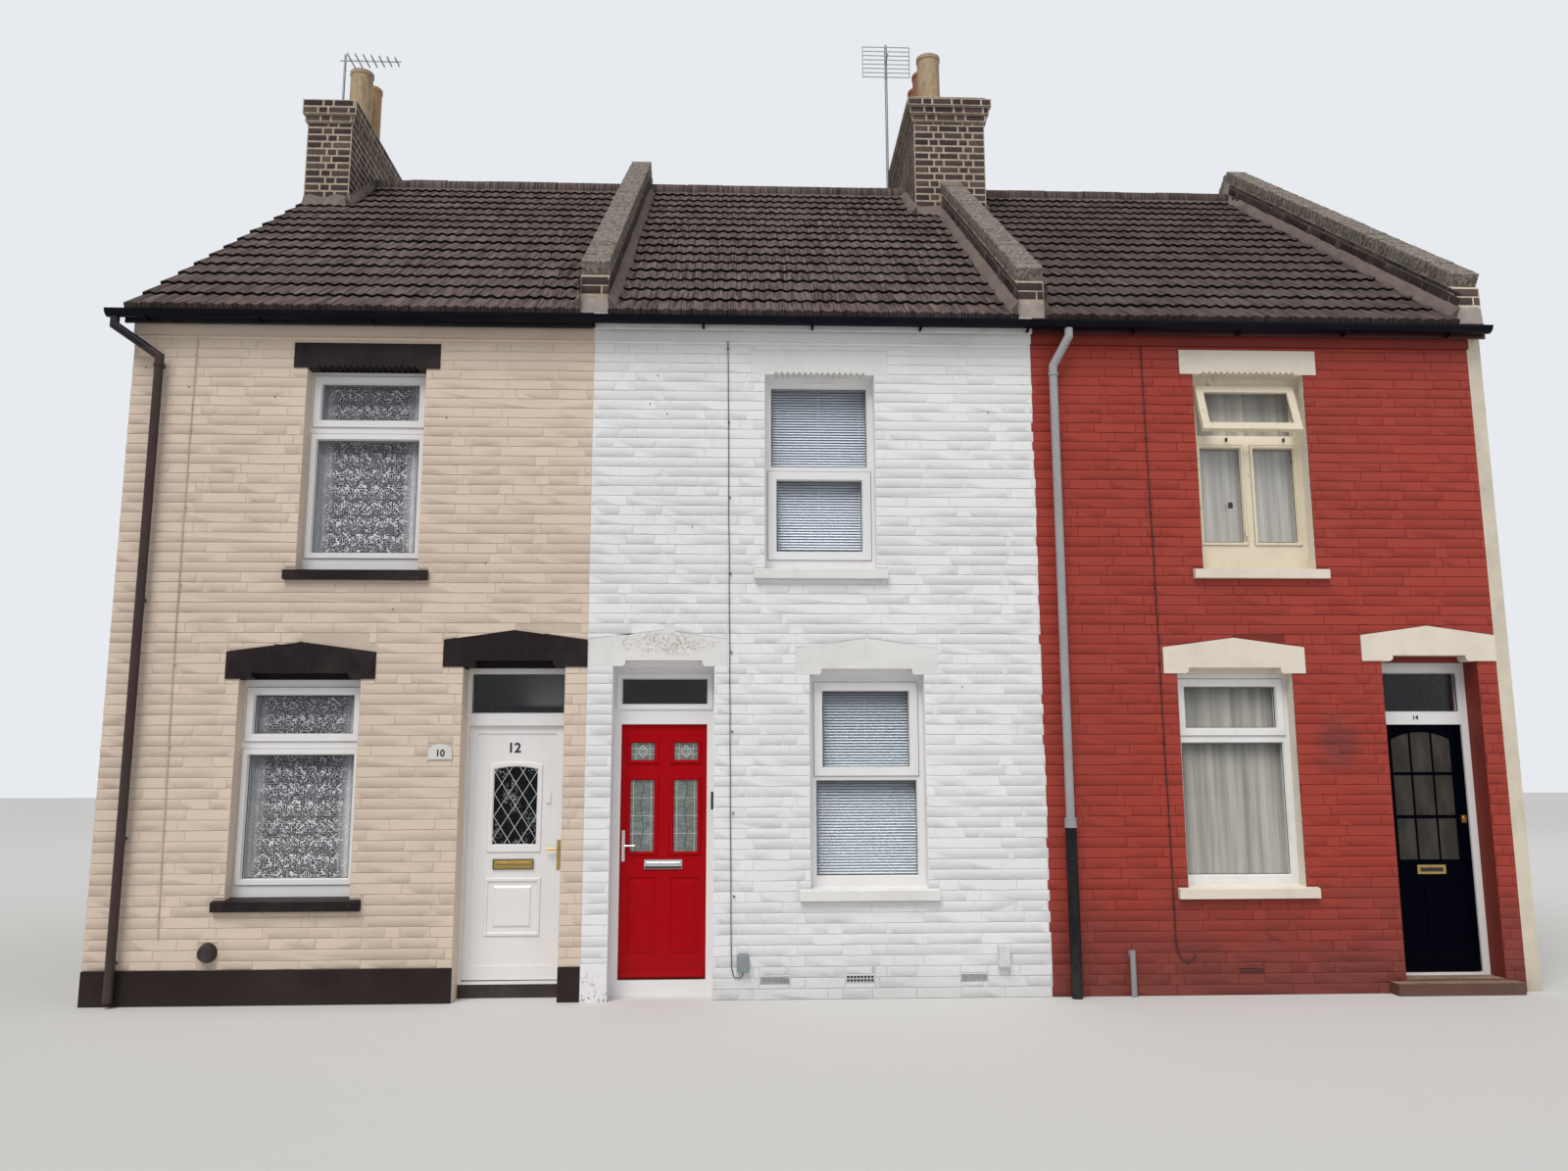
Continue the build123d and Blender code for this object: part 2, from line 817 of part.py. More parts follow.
def light(w, inset, low, high, sash=0):
    """A light as wide as its window less an inset on each side."""
    return Light(Panel(w.left + inset, w.right - inset, low, high), sash)


def vent_over_sash(w, top_inset, top_drop, top_foot, top_sash, inset, foot, drop, sash):
    """A top-hung vent over a lower light, measured down from the head and up from the sill."""
    return [light(w, top_inset, w.head - top_foot, w.head - top_drop, top_sash),
            light(w, inset, w.sill_top + foot, w.head - drop, sash)]


# Lights: inset, drop, foot and sash of the vent, then inset, foot, drop and sash of the light below
casement_half = casement_bar / 2
vent_hinge = red_upper.head - vent_hinge_drop
casement_low = red_upper.sill_top + casement_foot
casement_high = red_upper.head - casement_drop
front_lights = {
    cream_ground: vent_over_sash(cream_ground, 82, 120, 413, 64, 62, 137, 581, 50),
    cream_upper: vent_over_sash(cream_upper, 84, 97, 393, 66, 68, 150, 565, 54),
    white_ground: vent_over_sash(white_ground, 110, 125, 714, 74, 59, 83, 824, 0),
    white_upper: vent_over_sash(white_upper, 56, 80, 738, 0, 101, 156, 857, 76),
    red_ground: vent_over_sash(red_ground, 96, 101, 423, 66, 57, 76, 547, 0),
    red_upper: [Light(Panel(red_upper.left + casement_inset, red_upper.middle - casement_half,
                            casement_low, casement_high), casement_sash),
                Light(Panel(red_upper.middle + casement_half, red_upper.right - casement_inset,
                            casement_low, casement_high), casement_sash)]}
vent_hole = Panel(red_upper.left + vent_hole_inset, red_upper.right - vent_hole_inset,
                  vent_hinge - vent_height + vent_lap, vent_hinge - vent_lap)


def glazed_hole(pane, y, y_glass, y_back):
    """A hole for glass, with a bevelled bead round its mouth at y."""
    pierced(pane, y_glass, y_back)
    sunk(pane.grown(glazing_bead), y, y_glass - y, glazing_bead)


def window_frame(w, lights):
    """A frame as deep as its profile, with a glazed hole for each light."""
    block(w.left, w.right, frame_front, frame_back, w.sill_top, w.head)
    for lit in lights:
        face = frame_front
        if lit.sash:
            face = frame_front - sash_reach
            raised(lit.pane.grown(lit.sash), frame_front, sash_reach, glazing_bead / 2)
        glazed_hole(lit.pane, face, glass_front, frame_back)


def window_panes(lights):
    """Sealed glass units that fill the holes of a frame."""
    for lit in lights:
        raised(lit.pane, glass_front + glass, glass)


# The red house's upper vent hangs open: its own plane leans out from the hinge at its top
open_vent = Plane((red_upper.middle, frame_front, vent_hinge), x_dir=(1, 0, 0),
                  z_dir=(0, -math.cos(math.radians(vent_tilt)),
                         math.sin(math.radians(vent_tilt))))
vent_width = red_upper.width - 2 * vent_inset


def on_open_vent(width, low, high, depth, start, mode=Mode.ADD):
    """A slab on the leaning plane, low and high being measured down from the hinge."""
    with BuildSketch(open_vent.offset(start)) as outline:
        with Locations((0, -(low + high) / 2)):
            Rectangle(width, high - low)
    extrude(outline.sketch, amount=depth, mode=mode)


with BuildPart() as cream_window_frames:
    for window in (cream_ground, cream_upper):
        window_frame(window, front_lights[window])
cream_window_frames.part.label = "cream_window_frames"
export_step(cream_window_frames.part, "parts/cream_window_frames.step")

with BuildPart() as white_window_frames:
    for window in (white_ground, white_upper):
        window_frame(window, front_lights[window])
white_window_frames.part.label = "white_window_frames"
export_step(white_window_frames.part, "parts/white_window_frames.step")

with BuildPart() as red_window_frames:
    for window in (red_ground, red_upper):
        window_frame(window, front_lights[window])
    pierced(vent_hole, frame_front, frame_back)
    on_open_vent(vent_width, 0, vent_height, vent_thickness, -vent_thickness / 4)
    on_open_vent(vent_width - 2 * vent_border, vent_border, vent_height - vent_border,
                 vent_thickness, -vent_thickness / 4, Mode.SUBTRACT)
red_window_frames.part.label = "red_window_frames"
export_step(red_window_frames.part, "parts/red_window_frames.step")

# Rear windows: plain frames, with a vent over a fixed light
rear_frame_back = rear - window_setback
rear_frame_front = rear_frame_back - window_depth


def rear_panes(w):
    """The two panes of a rear window."""
    split = w.head - rear_transom_drop
    left = w.left + rear_frame_border
    right = w.right - rear_frame_border
    half = rear_frame_border / 2
    return [Panel(left, right, split + half, w.head - rear_frame_border),
            Panel(left, right, w.sill_top + rear_frame_border, split - half)]


with BuildPart() as rear_window_frames:
    for window in rear_ground + rear_upper:
        block(window.left, window.right, rear_frame_front, rear_frame_back,
              window.sill_top, window.head)
        for pane in rear_panes(window):
            pierced(pane, rear_frame_front, rear_frame_back)
rear_window_frames.part.label = "rear_window_frames"
export_step(rear_window_frames.part, "parts/rear_window_frames.step")

# Front doors, with the hinge line behind the leaf
frame_face = front + door_setback
leaf_front = frame_face + stop_depth + stop_gap
leaf_back = leaf_front + leaf_thickness
pivot_y = inside_front + 10
pivot_gap = hinge_gap / 2
hinge_heights = (350, 1850)
pin_radius = 4
pin_play = 0.3
knuckle_radius = 8
knuckle = 40
end_knuckle = 30
knuckle_gap = 0.5
hinge_flap = 14
flap_root = 2
transom_height = 90

# Fanlight panes: side, head and foot insets from the opening and the transom, and sash width
fanlights = {cream_door: (32, 44, 0, 0), white_door: (61, 90, 55, 48), red_door: (64, 86, 0, 0)}


def fanlight_pane(door):
    """The pane over a front door."""
    side, head, foot, sash = fanlights[door]
    return Panel(door.left + side, door.right - side,
                 door.leaf_top + hinge_gap + transom_height + foot, door.head - head)


def pivot_x(door):
    """The place of a door's hinge line along the row."""
    return door.leaf_left - pivot_gap if door.hinge_left else door.leaf_right + pivot_gap


def door_frame(door):
    """The fixed frame: jambs with stops, threshold, transom, fanlight opening and hinge pins."""
    low = ground_floor + threshold
    leaf_hole = door.leaf_top + hinge_gap
    block(door.left, door.right, frame_face, inside_front, ground_floor, door.head)
    block(door.left + door.jamb, door.right - door.jamb, frame_face + stop_depth, inside_front,
          low, leaf_hole, Mode.SUBTRACT)
    clear = Panel(door.left + door.jamb + door.lip, door.right - door.jamb - door.lip,
                  low, leaf_hole - door.lip)
    pierced(clear, frame_face, frame_face + stop_depth)
    face = frame_face
    sash = fanlights[door][3]
    if sash:
        face = frame_face - sash_reach
        raised(fanlight_pane(door).grown(sash), frame_face, sash_reach, glazing_bead / 2)
    glazed_hole(fanlight_pane(door), face, frame_face + glass_setback, inside_front)
    x = pivot_x(door)
    away = -1 if door.hinge_left else 1
    for z in hinge_heights:
        seat = z - knuckle / 2 - knuckle_gap
        rod(x, pivot_y, seat - end_knuckle, end_knuckle, knuckle_radius)
        rod(x, pivot_y, seat, knuckle + knuckle_gap, pin_radius)
        flap = sorted((x + away * pivot_gap, x + away * hinge_flap))
        block(*flap, inside_front - flap_root, pivot_y, seat - end_knuckle, seat)


def hinge_leaf(door):
    """The upper knuckles of lift-off hinges on the back of a leaf, bored for their pins."""
    x = pivot_x(door)
    toward = 1 if door.hinge_left else -1
    for z in hinge_heights:
        rod(x, pivot_y, z - knuckle / 2, knuckle, knuckle_radius)
        flap = sorted((x + toward * pivot_gap, x + toward * knuckle_radius))
        block(*flap, leaf_back, pivot_y, z - knuckle / 2, z + knuckle / 2)
        rod(x, pivot_y, z - knuckle / 2, knuckle, pin_radius + pin_play, Mode.SUBTRACT)


def leaf_slab(door):
    """The plain slab of a leaf."""
    block(door.leaf_left, door.leaf_right, leaf_front, leaf_back, door.leaf_foot, door.leaf_top)


def on_leaf(door, x0, x1, z0, z1, arch=0):
    """A panel placed from the middle and the foot of a leaf."""
    return Panel(door.leaf_middle + x0, door.leaf_middle + x1,
                 door.leaf_foot + z0, door.leaf_foot + z1, arch, door.leaf_middle)


# Mouldings of the leaves: how far they stand out or in, and their bevels
moulding = 10
moulding_bevel = 6
field_depth = 7
field_bevel = 16

# Cream house: flat sunk board, arched light in a moulding, moulded panel below
cream_board = on_leaf(cream_door, -309, 309, 105, 1867)
cream_light_moulding = on_leaf(cream_door, -210, 210, 952, 1650, 860)
cream_leaf_panes = [on_leaf(cream_door, -167, 167, 1014, 1609, 649)]
cream_panel = on_leaf(cream_door, -216, 216, 322, 760)
cream_panel_field = on_leaf(cream_door, -148, 148, 387, 700)
cream_board_face = leaf_front + field_depth

# White house: two square and two tall lights, two raised panels and a weather bar
pair = ((-292, -42), (42, 292))
pair_glass = ((-261, -79), (79, 261))
white_mouldings = [on_leaf(white_door, x0, x1, z0, z1)
                   for z0, z1 in ((1628, 1828), (924, 1534)) for x0, x1 in pair]
white_leaf_panes = [on_leaf(white_door, x0, x1, z0, z1)
                    for z0, z1 in ((1659, 1792), (952, 1502)) for x0, x1 in pair_glass]
white_panels = [on_leaf(white_door, x0, x1, 163, 756) for x0, x1 in ((-277, -60), (60, 277))]
weather_bar_reach = 22

# Red house: nine lights under one arch, two sunk panels and a weather board
nine_columns = ((-241, -98), (-80, 80), (98, 241))
navy_arch = 514
red_leaf_panes = [on_leaf(red_door, x0, x1, z0, z1, navy_arch if z1 > 1800 else 0)
                  for z0, z1 in ((857, 1179), (1206, 1522), (1547, 1868))
                  for x0, x1 in nine_columns]
red_panels = [on_leaf(red_door, x0, x1, 151, 683) for x0, x1 in ((-252, -62), (62, 252))]
weather_board_reach = 32

with BuildPart() as cream_door_frame:
    door_frame(cream_door)
cream_door_frame.part.label = "cream_door_frame"
export_step(cream_door_frame.part, "parts/cream_door_frame.step")

with BuildPart() as white_door_frame:
    door_frame(white_door)
    block(white_door.left, white_door.right, frame_face, frame_face + stop_depth,
          0, ground_floor)
white_door_frame.part.label = "white_door_frame"
export_step(white_door_frame.part, "parts/white_door_frame.step")

with BuildPart() as red_door_frame:
    door_frame(red_door)
red_door_frame.part.label = "red_door_frame"
export_step(red_door_frame.part, "parts/red_door_frame.step")

with BuildPart() as cream_door_leaf:
    leaf_slab(cream_door)
    sunk(cream_board, leaf_front, field_depth, moulding_bevel / 2)
    raised(cream_light_moulding, cream_board_face, moulding, moulding_bevel)
    raised(cream_panel, cream_board_face, moulding, moulding_bevel)
    sunk(cream_panel.grown(-24), cream_board_face - moulding, moulding, moulding_bevel)
    raised(cream_panel_field, cream_board_face, moulding, field_bevel)
    for pane in cream_leaf_panes:
        glazed_hole(pane, cream_board_face - moulding, leaf_front + glazing_bead, leaf_back)
    raised(on_leaf(cream_door, 242, 278, 1327, 1410), cream_board_face, moulding, 2)
    hinge_leaf(cream_door)
cream_door_leaf.part.label = "cream_door_leaf"
export_step(cream_door_leaf.part, "parts/cream_door_leaf.step")

with BuildPart() as white_house_red_leaf:
    leaf_slab(white_door)
    for surround in white_mouldings:
        raised(surround, leaf_front, moulding, moulding_bevel)
    for pane in white_leaf_panes:
        sunk(pane.grown(glazing_bead), leaf_front - moulding, moulding, moulding_bevel)
        glazed_hole(pane, leaf_front, leaf_front + glazing_bead, leaf_back)
    for panel in white_panels:
        sunk(panel, leaf_front, field_depth, moulding_bevel)
        raised(panel.grown(-field_bevel), leaf_front + field_depth, field_depth, 2 * field_bevel)
    raised(on_leaf(white_door, -326, 326, 7, 52), leaf_front, weather_bar_reach, 8)
    hinge_leaf(white_door)
white_house_red_leaf.part.label = "white_house_red_leaf"
export_step(white_house_red_leaf.part, "parts/white_house_red_leaf.step")

with BuildPart() as red_house_navy_leaf:
    leaf_slab(red_door)
    for pane in red_leaf_panes:
        glazed_hole(pane, leaf_front, leaf_front + glazing_bead, leaf_back)
    for panel in red_panels:
        sunk(panel, leaf_front, field_depth, moulding_bevel)
    raised(on_leaf(red_door, -320, 320, 2, 62), leaf_front, weather_board_reach, 10)
    hinge_leaf(red_door)
red_house_navy_leaf.part.label = "red_house_navy_leaf"
export_step(red_house_navy_leaf.part, "parts/red_house_navy_leaf.step")


def leaf_glass(panes):
    """Glass that fills the holes of a leaf."""
    for pane in panes:
        raised(pane, leaf_back - glazing_bead, leaf_thickness - 2 * glazing_bead)


with BuildPart() as cream_leaf_glass:
    leaf_glass(cream_leaf_panes)
cream_leaf_glass.part.label = "cream_leaf_glass"
export_step(cream_leaf_glass.part, "parts/cream_leaf_glass.step")

with BuildPart() as red_leaf_glass:
    leaf_glass(white_leaf_panes)
red_leaf_glass.part.label = "red_leaf_glass"
export_step(red_leaf_glass.part, "parts/red_leaf_glass.step")

with BuildPart() as navy_leaf_glass:
    leaf_glass(red_leaf_panes)
navy_leaf_glass.part.label = "navy_leaf_glass"
export_step(navy_leaf_glass.part, "parts/navy_leaf_glass.step")

with BuildPart() as window_glass:
    for window in front_windows:
        window_panes(front_lights[window])
    on_open_vent(vent_width - 2 * vent_border, vent_border, vent_height - vent_border,
                 glass, -vent_thickness / 4)
    for window in rear_ground + rear_upper:
        for pane in rear_panes(window):
            raised(pane, rear_frame_back - glass_setback, glass)
    for door in front_doors:
        raised(fanlight_pane(door), frame_face + glass_setback + glass, glass)
window_glass.part.label = "window_glass"
export_step(window_glass.part, "parts/window_glass.step")

# Letter plates, lever handles and the night latch, each set on the face of its leaf
plate_reach = 7
flap_reach = 5
plate_height = 76
plate_border = 20
handle_width = 30
lever_radius = 8
lever_reach = 42
lever_length = 92
latch_reach = 14
knob_radius = 15


def letter_plate(door, face, width, low):
    """A letter plate with a raised flap, on the middle of a leaf."""
    plate = on_leaf(door, -width / 2, width / 2, low, low + plate_height)
    raised(plate, face, plate_reach, 3)
    raised(plate.grown(-plate_border), face - plate_reach, flap_reach, 3)


def lever_handle(door, x, low, high, lever_z, toward):
    """An upright plate with a lever that points to the middle of the leaf."""
    raised(on_leaf(door, x - handle_width / 2, x + handle_width / 2, low, high), leaf_front,
           plate_reach, 3)
    at = door.leaf_middle + x
    z = door.leaf_foot + lever_z
    with BuildSketch(facing(at, leaf_front, z)) as boss:
        Circle(lever_radius + 3)
    extrude(boss.sketch, amount=lever_reach)
    with BuildSketch(Plane((at, leaf_front - lever_reach + lever_radius, z),
                           z_dir=(toward, 0, 0))) as bar:
        Circle(lever_radius)
    extrude(bar.sketch, amount=lever_length)


with BuildPart() as cream_door_furniture:
    letter_plate(cream_door, cream_board_face, 310, 824)
    lever_handle(cream_door, 347, 819, 1047, 977, -1)
cream_door_furniture.part.label = "cream_door_furniture"
export_step(cream_door_furniture.part, "parts/cream_door_furniture.step")

with BuildPart() as red_leaf_furniture:
    letter_plate(white_door, leaf_front, 300, 817)
    lever_handle(white_door, -311, 875, 1118, 998, 1)
red_leaf_furniture.part.label = "red_leaf_furniture"
export_step(red_leaf_furniture.part, "parts/red_leaf_furniture.step")

with BuildPart() as navy_leaf_furniture:
    letter_plate(red_door, leaf_front, 237, 742)
    night_latch = on_leaf(red_door, 275, 320, 1142, 1208)
    raised(night_latch, leaf_front, latch_reach, 3)
    with BuildSketch(facing((night_latch.left + night_latch.right) / 2,
                            leaf_front - latch_reach,
                            (night_latch.low + night_latch.high) / 2)) as knob:
        Circle(knob_radius)
    extrude(knob.sketch, amount=latch_reach, taper=10)
navy_leaf_furniture.part.label = "navy_leaf_furniture"
export_step(navy_leaf_furniture.part, "parts/navy_leaf_furniture.step")

# Rear doors, fixed shut
with BuildPart() as rear_doors:
    for middle in rear_door_middles:
        half = rear_door_width / 2
        block(middle - half, middle + half, rear - door_setback - rear_door_thickness,
              rear - door_setback, ground_floor, rear_door_head)
        for low, high in ((ground_floor + rear_panel_margin, rear_rail_middle - rear_rail / 2),
                          (rear_rail_middle + rear_rail / 2, rear_door_head - rear_panel_margin)):
            recess = Panel(middle - half + rear_panel_border, middle + half - rear_panel_border,
                           low, high)
            pierced(recess, rear - door_setback - field_depth, rear - door_setback)
rear_doors.part.label = "rear_doors"
export_step(rear_doors.part, "parts/rear_doors.step")

# Steps: boards under the frames of the two painted houses, a tiled step at the red house
with BuildPart() as door_steps:
    block(cream_door.left, cream_door.right, frame_face, inside_front, 0, ground_floor)
    block(white_door.left, white_door.right, frame_face + stop_depth, inside_front,
          0, ground_floor)
    block(red_door.left, red_door.right, front, inside_front, 0, ground_floor)
    block(red_door.left - step_side, red_door.right + step_side / 2, front - step_reach, front,
          0, tile_step_height)
    for middle in rear_door_middles:
        block(middle - rear_door_width / 2, middle + rear_door_width / 2, inside_rear, rear,
              0, ground_floor)
door_steps.part.label = "door_steps"
export_step(door_steps.part, "parts/door_steps.step")

# Curtains and blinds behind the glass
curtain = 16
curtain_front = frame_back + 12
soft_gap = 0.3


def hung(w):
    """A soft sheet that hangs in a window's inner reveal."""
    block(w.left + soft_gap, w.right - soft_gap, curtain_front, curtain_front + curtain,
          w.sill_top + soft_gap, w.head - soft_gap)


with BuildPart() as net_curtains:
    hung(cream_ground)
    hung(cream_upper)
net_curtains.part.label = "net_curtains"
export_step(net_curtains.part, "parts/net_curtains.step")

with BuildPart() as venetian_blinds:
    hung(white_ground)
    hung(white_upper)
venetian_blinds.part.label = "venetian_blinds"
export_step(venetian_blinds.part, "parts/venetian_blinds.step")

with BuildPart() as pleated_curtains:
    hung(red_ground)
    hung(red_upper)
pleated_curtains.part.label = "pleated_curtains"
export_step(pleated_curtains.part, "parts/pleated_curtains.step")

# Fascias and gutters on both sides
gutter_left = gable_face - gutter_overrun
gutter_y = rafter_end - fascia_board - gutter_strap - gutter_radius

with BuildPart() as fascias:
    for side in (1, -1):
        along_row([(side * rafter_end, fascia_bottom), (side * rafter_end, fascia_top),
                   (side * (rafter_end - fascia_board), fascia_top),
                   (side * (rafter_end - fascia_board), fascia_bottom)], bays[0][0], party_face)
fascias.part.label = "fascias"
export_step(fascias.part, "parts/fascias.step")


def half_round(x, side, length, outer, inner=0):
    """A half-round trough or disc under the tiles' edge, from x along the row."""
    with BuildSketch(Plane.YZ.offset(x)) as outline:
        with Locations((side * gutter_y, gutter_top)):
            Circle(outer)
            if inner:
                Circle(inner, mode=Mode.SUBTRACT)
            with Locations((0, outer / 2)):
                Rectangle(2 * outer, outer, mode=Mode.SUBTRACT)
    extrude(outline.sketch, amount=length)


with BuildPart() as gutters:
    for side in (1, -1):
        half_round(gutter_left, side, party_face - gutter_left, gutter_radius,
                   gutter_radius - gutter_wall)
        for x in (gutter_left, party_face - gutter_wall):
            half_round(x, side, gutter_wall, gutter_radius)
        strap = sorted((side * rafter_end - side * fascia_board,
                        side * (gutter_y + gutter_radius - gutter_wall / 2)))
        block(gutter_left, party_face, *strap, gutter_top - 2 * gutter_wall, gutter_top)
gutters.part.label = "gutters"
export_step(gutters.part, "parts/gutters.step")

# Downpipes with swan necks, collars and brackets
pipe_y = front - pipe_standoff
gutter_bottom = gutter_top - gutter_radius
neck_start = nose_height - neck_start_drop
neck_end = nose_height - neck_end_drop
bracket_heights = (300, 1200, 3000)
collar_z = neck_end - 80


def downpipe(outlet_x, pipe_x):
    """A round pipe with mitred bends under a gutter outlet, held to the wall by brackets."""
    with BuildLine() as route:
        Polyline((outlet_x, gutter_y, gutter_bottom), (outlet_x, gutter_y, neck_start),
                 (pipe_x, pipe_y, neck_end), (pipe_x, pipe_y, pipe_foot))
    with BuildSketch(Plane((outlet_x, gutter_y, gutter_bottom), z_dir=(0, 0, -1))) as bore:
        Circle(pipe_radius)
    sweep(bore.sketch, path=route.line, transition=Transition.RIGHT)
    rod(pipe_x, pipe_y, collar_z, collar_height, pipe_radius + collar)
    for z in (*bracket_heights, collar_z):
        block(pipe_x - bracket_width / 2, pipe_x + bracket_width / 2, pipe_y, front,
              z, z + collar_height)


with BuildPart() as downpipes:
    downpipe(gable_face - outlet_overrun, gable_face + cream_pipe_offset)
    red_pipe = white_red + red_pipe_offset
    downpipe(white_red + red_outlet_offset, red_pipe)
    rod(red_pipe, pipe_y, 0, old_pipe_height, old_pipe_radius)
downpipes.part.label = "downpipes"
export_step(downpipes.part, "parts/downpipes.step")

# Plinth of the cream house
with BuildPart() as cream_plinth:
    block(gable_face, cream_door.left, front - plinth_reach, front, 0, plinth_height)
    block(cream_door.right, cream_white, front - plinth_reach, front, 0, plinth_height)
cream_plinth.part.label = "cream_plinth"
export_step(cream_plinth.part, "parts/cream_plinth.step")

# Small fittings on the walls: vent cover, number plate, meter boxes, pipe stub, bell push
vent_cover = 143
vent_cover_offset = 831
vent_cover_top = 450
vent_cover_arch = 73
vent_cover_reach = 60
vent_cover_bevel = 20
number_plate = 183
number_plate_offset = 61
number_plate_low = 1793
number_plate_high = 1912
number_plate_arch = 120
number_plate_reach = 12
meter_boxes = ((cream_white + 1172, 89, 206, 332, 45), (white_red - 414, 85, 227, 387, 50))
meter_box_bevel = 4
stub_offset = 610
stub_radius = 22
stub_height = 339
stub_standoff = 40
bell_width = 22
bell_depth = 27
bell_inset = 85
bell_low = 1405
bell_high = 1540

with BuildPart() as wall_fittings:
    vent_left = gable_face + vent_cover_offset
    raised(Panel(vent_left, vent_left + vent_cover, plinth_height + 1, vent_cover_top,
                 vent_cover_arch, vent_left + vent_cover / 2),
           front, vent_cover_reach, vent_cover_bevel)
    plate_right = cream_door.left - number_plate_offset
    raised(Panel(plate_right - number_plate, plate_right, number_plate_low, number_plate_high,
                 number_plate_arch, plate_right - number_plate / 2), front, number_plate_reach)
    for left, width, low, high, reach in meter_boxes:
        raised(Panel(left, left + width, low, high), front, reach, meter_box_bevel)
    stub_x = white_red + stub_offset
    rod(stub_x, front - stub_standoff, 0, stub_height, stub_radius)
    block(stub_x - stub_radius, stub_x + stub_radius, front - stub_standoff, front,
          stub_height - 2 * stub_radius, stub_height)
    block(white_door.right - bell_width, white_door.right, front + bell_inset,
          front + bell_inset + bell_depth, bell_low, bell_high)
wall_fittings.part.label = "wall_fittings"
export_step(wall_fittings.part, "parts/wall_fittings.step")

# Aerials: a mast held to the back of the party stack, a short one on the gable stack
mast_radius = 17
mast_drop = 500
mast_length = 2500
mast_inset = 140
clamp_rises = (80, 380)
grid_width = 620
grid_height = 420
grid_drop = 40
grid_bars = 8
grid_bar = 10
grid_post = 15
boom_bar = 14
boom_reach = 180
short_mast_radius = 13
short_mast_height = 560
short_mast_inset = 110
long_boom = 620
long_boom_tail = 60
long_boom_rise = 440
element_spacing = 85
element_half = 150
element_taper = 10

with BuildPart() as roof_aerials:
    mast_foot = party_neck - mast_drop
    mast_x = party_stack[0] - third_oversail - mast_radius
    mast_y = stack_half - mast_inset
    rod(mast_x, mast_y, mast_foot, mast_length, mast_radius)
    for rise in clamp_rises:
        block(mast_x, party_stack[0], mast_y - mast_radius, mast_y + mast_radius,
              mast_foot + rise, mast_foot + rise + 2 * mast_radius)
    grid_top = mast_foot + mast_length - grid_drop
    grid_y = mast_y - mast_radius - grid_bar
    grid_middle = grid_top - grid_height / 2
    for step in range(grid_bars):
        z = grid_top - grid_height * step / (grid_bars - 1)
        block(mast_x - grid_width / 2, mast_x + grid_width / 2, grid_y, grid_y + grid_bar,
              z - grid_bar / 2, z + grid_bar / 2)
    for x in (mast_x - grid_width / 2, mast_x - grid_bar, mast_x + grid_width / 2 - grid_bar):
        block(x, x + grid_bar, grid_y, grid_y + grid_post, grid_top - grid_height, grid_top)
    block(mast_x - boom_bar / 2, mast_x + boom_bar / 2, grid_y - boom_reach, mast_y,
          grid_middle - boom_bar / 2, grid_middle + boom_bar / 2)
    short_x = gable_face + gable_stack_width - short_mast_inset
    short_y = -stack_half - second_oversail / 2
    rod(short_x, short_y, gable_cap_top - flaunching, short_mast_height, short_mast_radius)
    boom_z = gable_cap_top + long_boom_rise
    block(short_x - long_boom_tail, short_x + long_boom, short_y - boom_bar / 2,
          short_y + boom_bar / 2, boom_z, boom_z + boom_bar)
    for step in range(7):
        x = short_x + long_boom_tail + element_spacing * step
        half = element_half - element_taper * step
        block(x, x + grid_bar, short_y - half, short_y + half, boom_z, boom_z + boom_bar)
roof_aerials.part.label = "roof_aerials"
export_step(roof_aerials.part, "parts/roof_aerials.step")
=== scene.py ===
"""Looks of a row of three brick terraced houses: a cream, a white and a red one.

Everything is in metres in the row's own frame: X along the street, Y into the houses, Z up.
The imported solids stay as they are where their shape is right, and carry the materials made
here. Bricks, roof tiles, copings, curtains, blinds, leads, cables and small fixings are
modelled here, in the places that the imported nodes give.
"""

import math
import random

import bmesh
import bpy
from mathutils import Matrix, Vector


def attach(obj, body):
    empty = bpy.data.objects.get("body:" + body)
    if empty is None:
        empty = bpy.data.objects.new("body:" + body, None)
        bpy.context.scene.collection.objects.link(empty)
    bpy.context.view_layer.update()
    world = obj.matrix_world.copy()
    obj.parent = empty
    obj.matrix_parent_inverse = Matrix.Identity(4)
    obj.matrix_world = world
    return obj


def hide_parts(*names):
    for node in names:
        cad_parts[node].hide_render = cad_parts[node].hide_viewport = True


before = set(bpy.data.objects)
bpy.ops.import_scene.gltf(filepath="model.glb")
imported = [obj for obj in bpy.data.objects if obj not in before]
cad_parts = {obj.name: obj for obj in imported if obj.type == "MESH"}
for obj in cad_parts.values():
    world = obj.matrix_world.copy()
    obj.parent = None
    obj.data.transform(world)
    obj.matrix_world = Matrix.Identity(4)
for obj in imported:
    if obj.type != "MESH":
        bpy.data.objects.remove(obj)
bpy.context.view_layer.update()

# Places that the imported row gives
FRONT = -4.1
REAR = 4.1
GABLE = -5.44
CREAM_WHITE = -1.785
WHITE_RED = 1.785
ROW_END = 5.477
PARTY_FACE = 5.592
HALF_PARTY = 0.115
BAND_BOTTOM = 5.165
NOSE = 4.236
NOSE_HEIGHT = 5.38
RIDGE = 8.572
PITCH = math.atan2(RIDGE - NOSE_HEIGHT, NOSE)
SLOPE_LENGTH = math.hypot(NOSE, RIDGE - NOSE_HEIGHT)
STACK_HALF = 0.87
GABLE_STACK = (-5.44, -4.95)
PARTY_STACK = (1.38, 2.19)
BAYS = ((GABLE - 0.05, CREAM_WHITE - HALF_PARTY),
        (CREAM_WHITE + HALF_PARTY, WHITE_RED - HALF_PARTY),
        (WHITE_RED + HALF_PARTY, ROW_END - HALF_PARTY))
COURSE = 0.079
HEADER = 0.1125
STRETCHER = 0.225

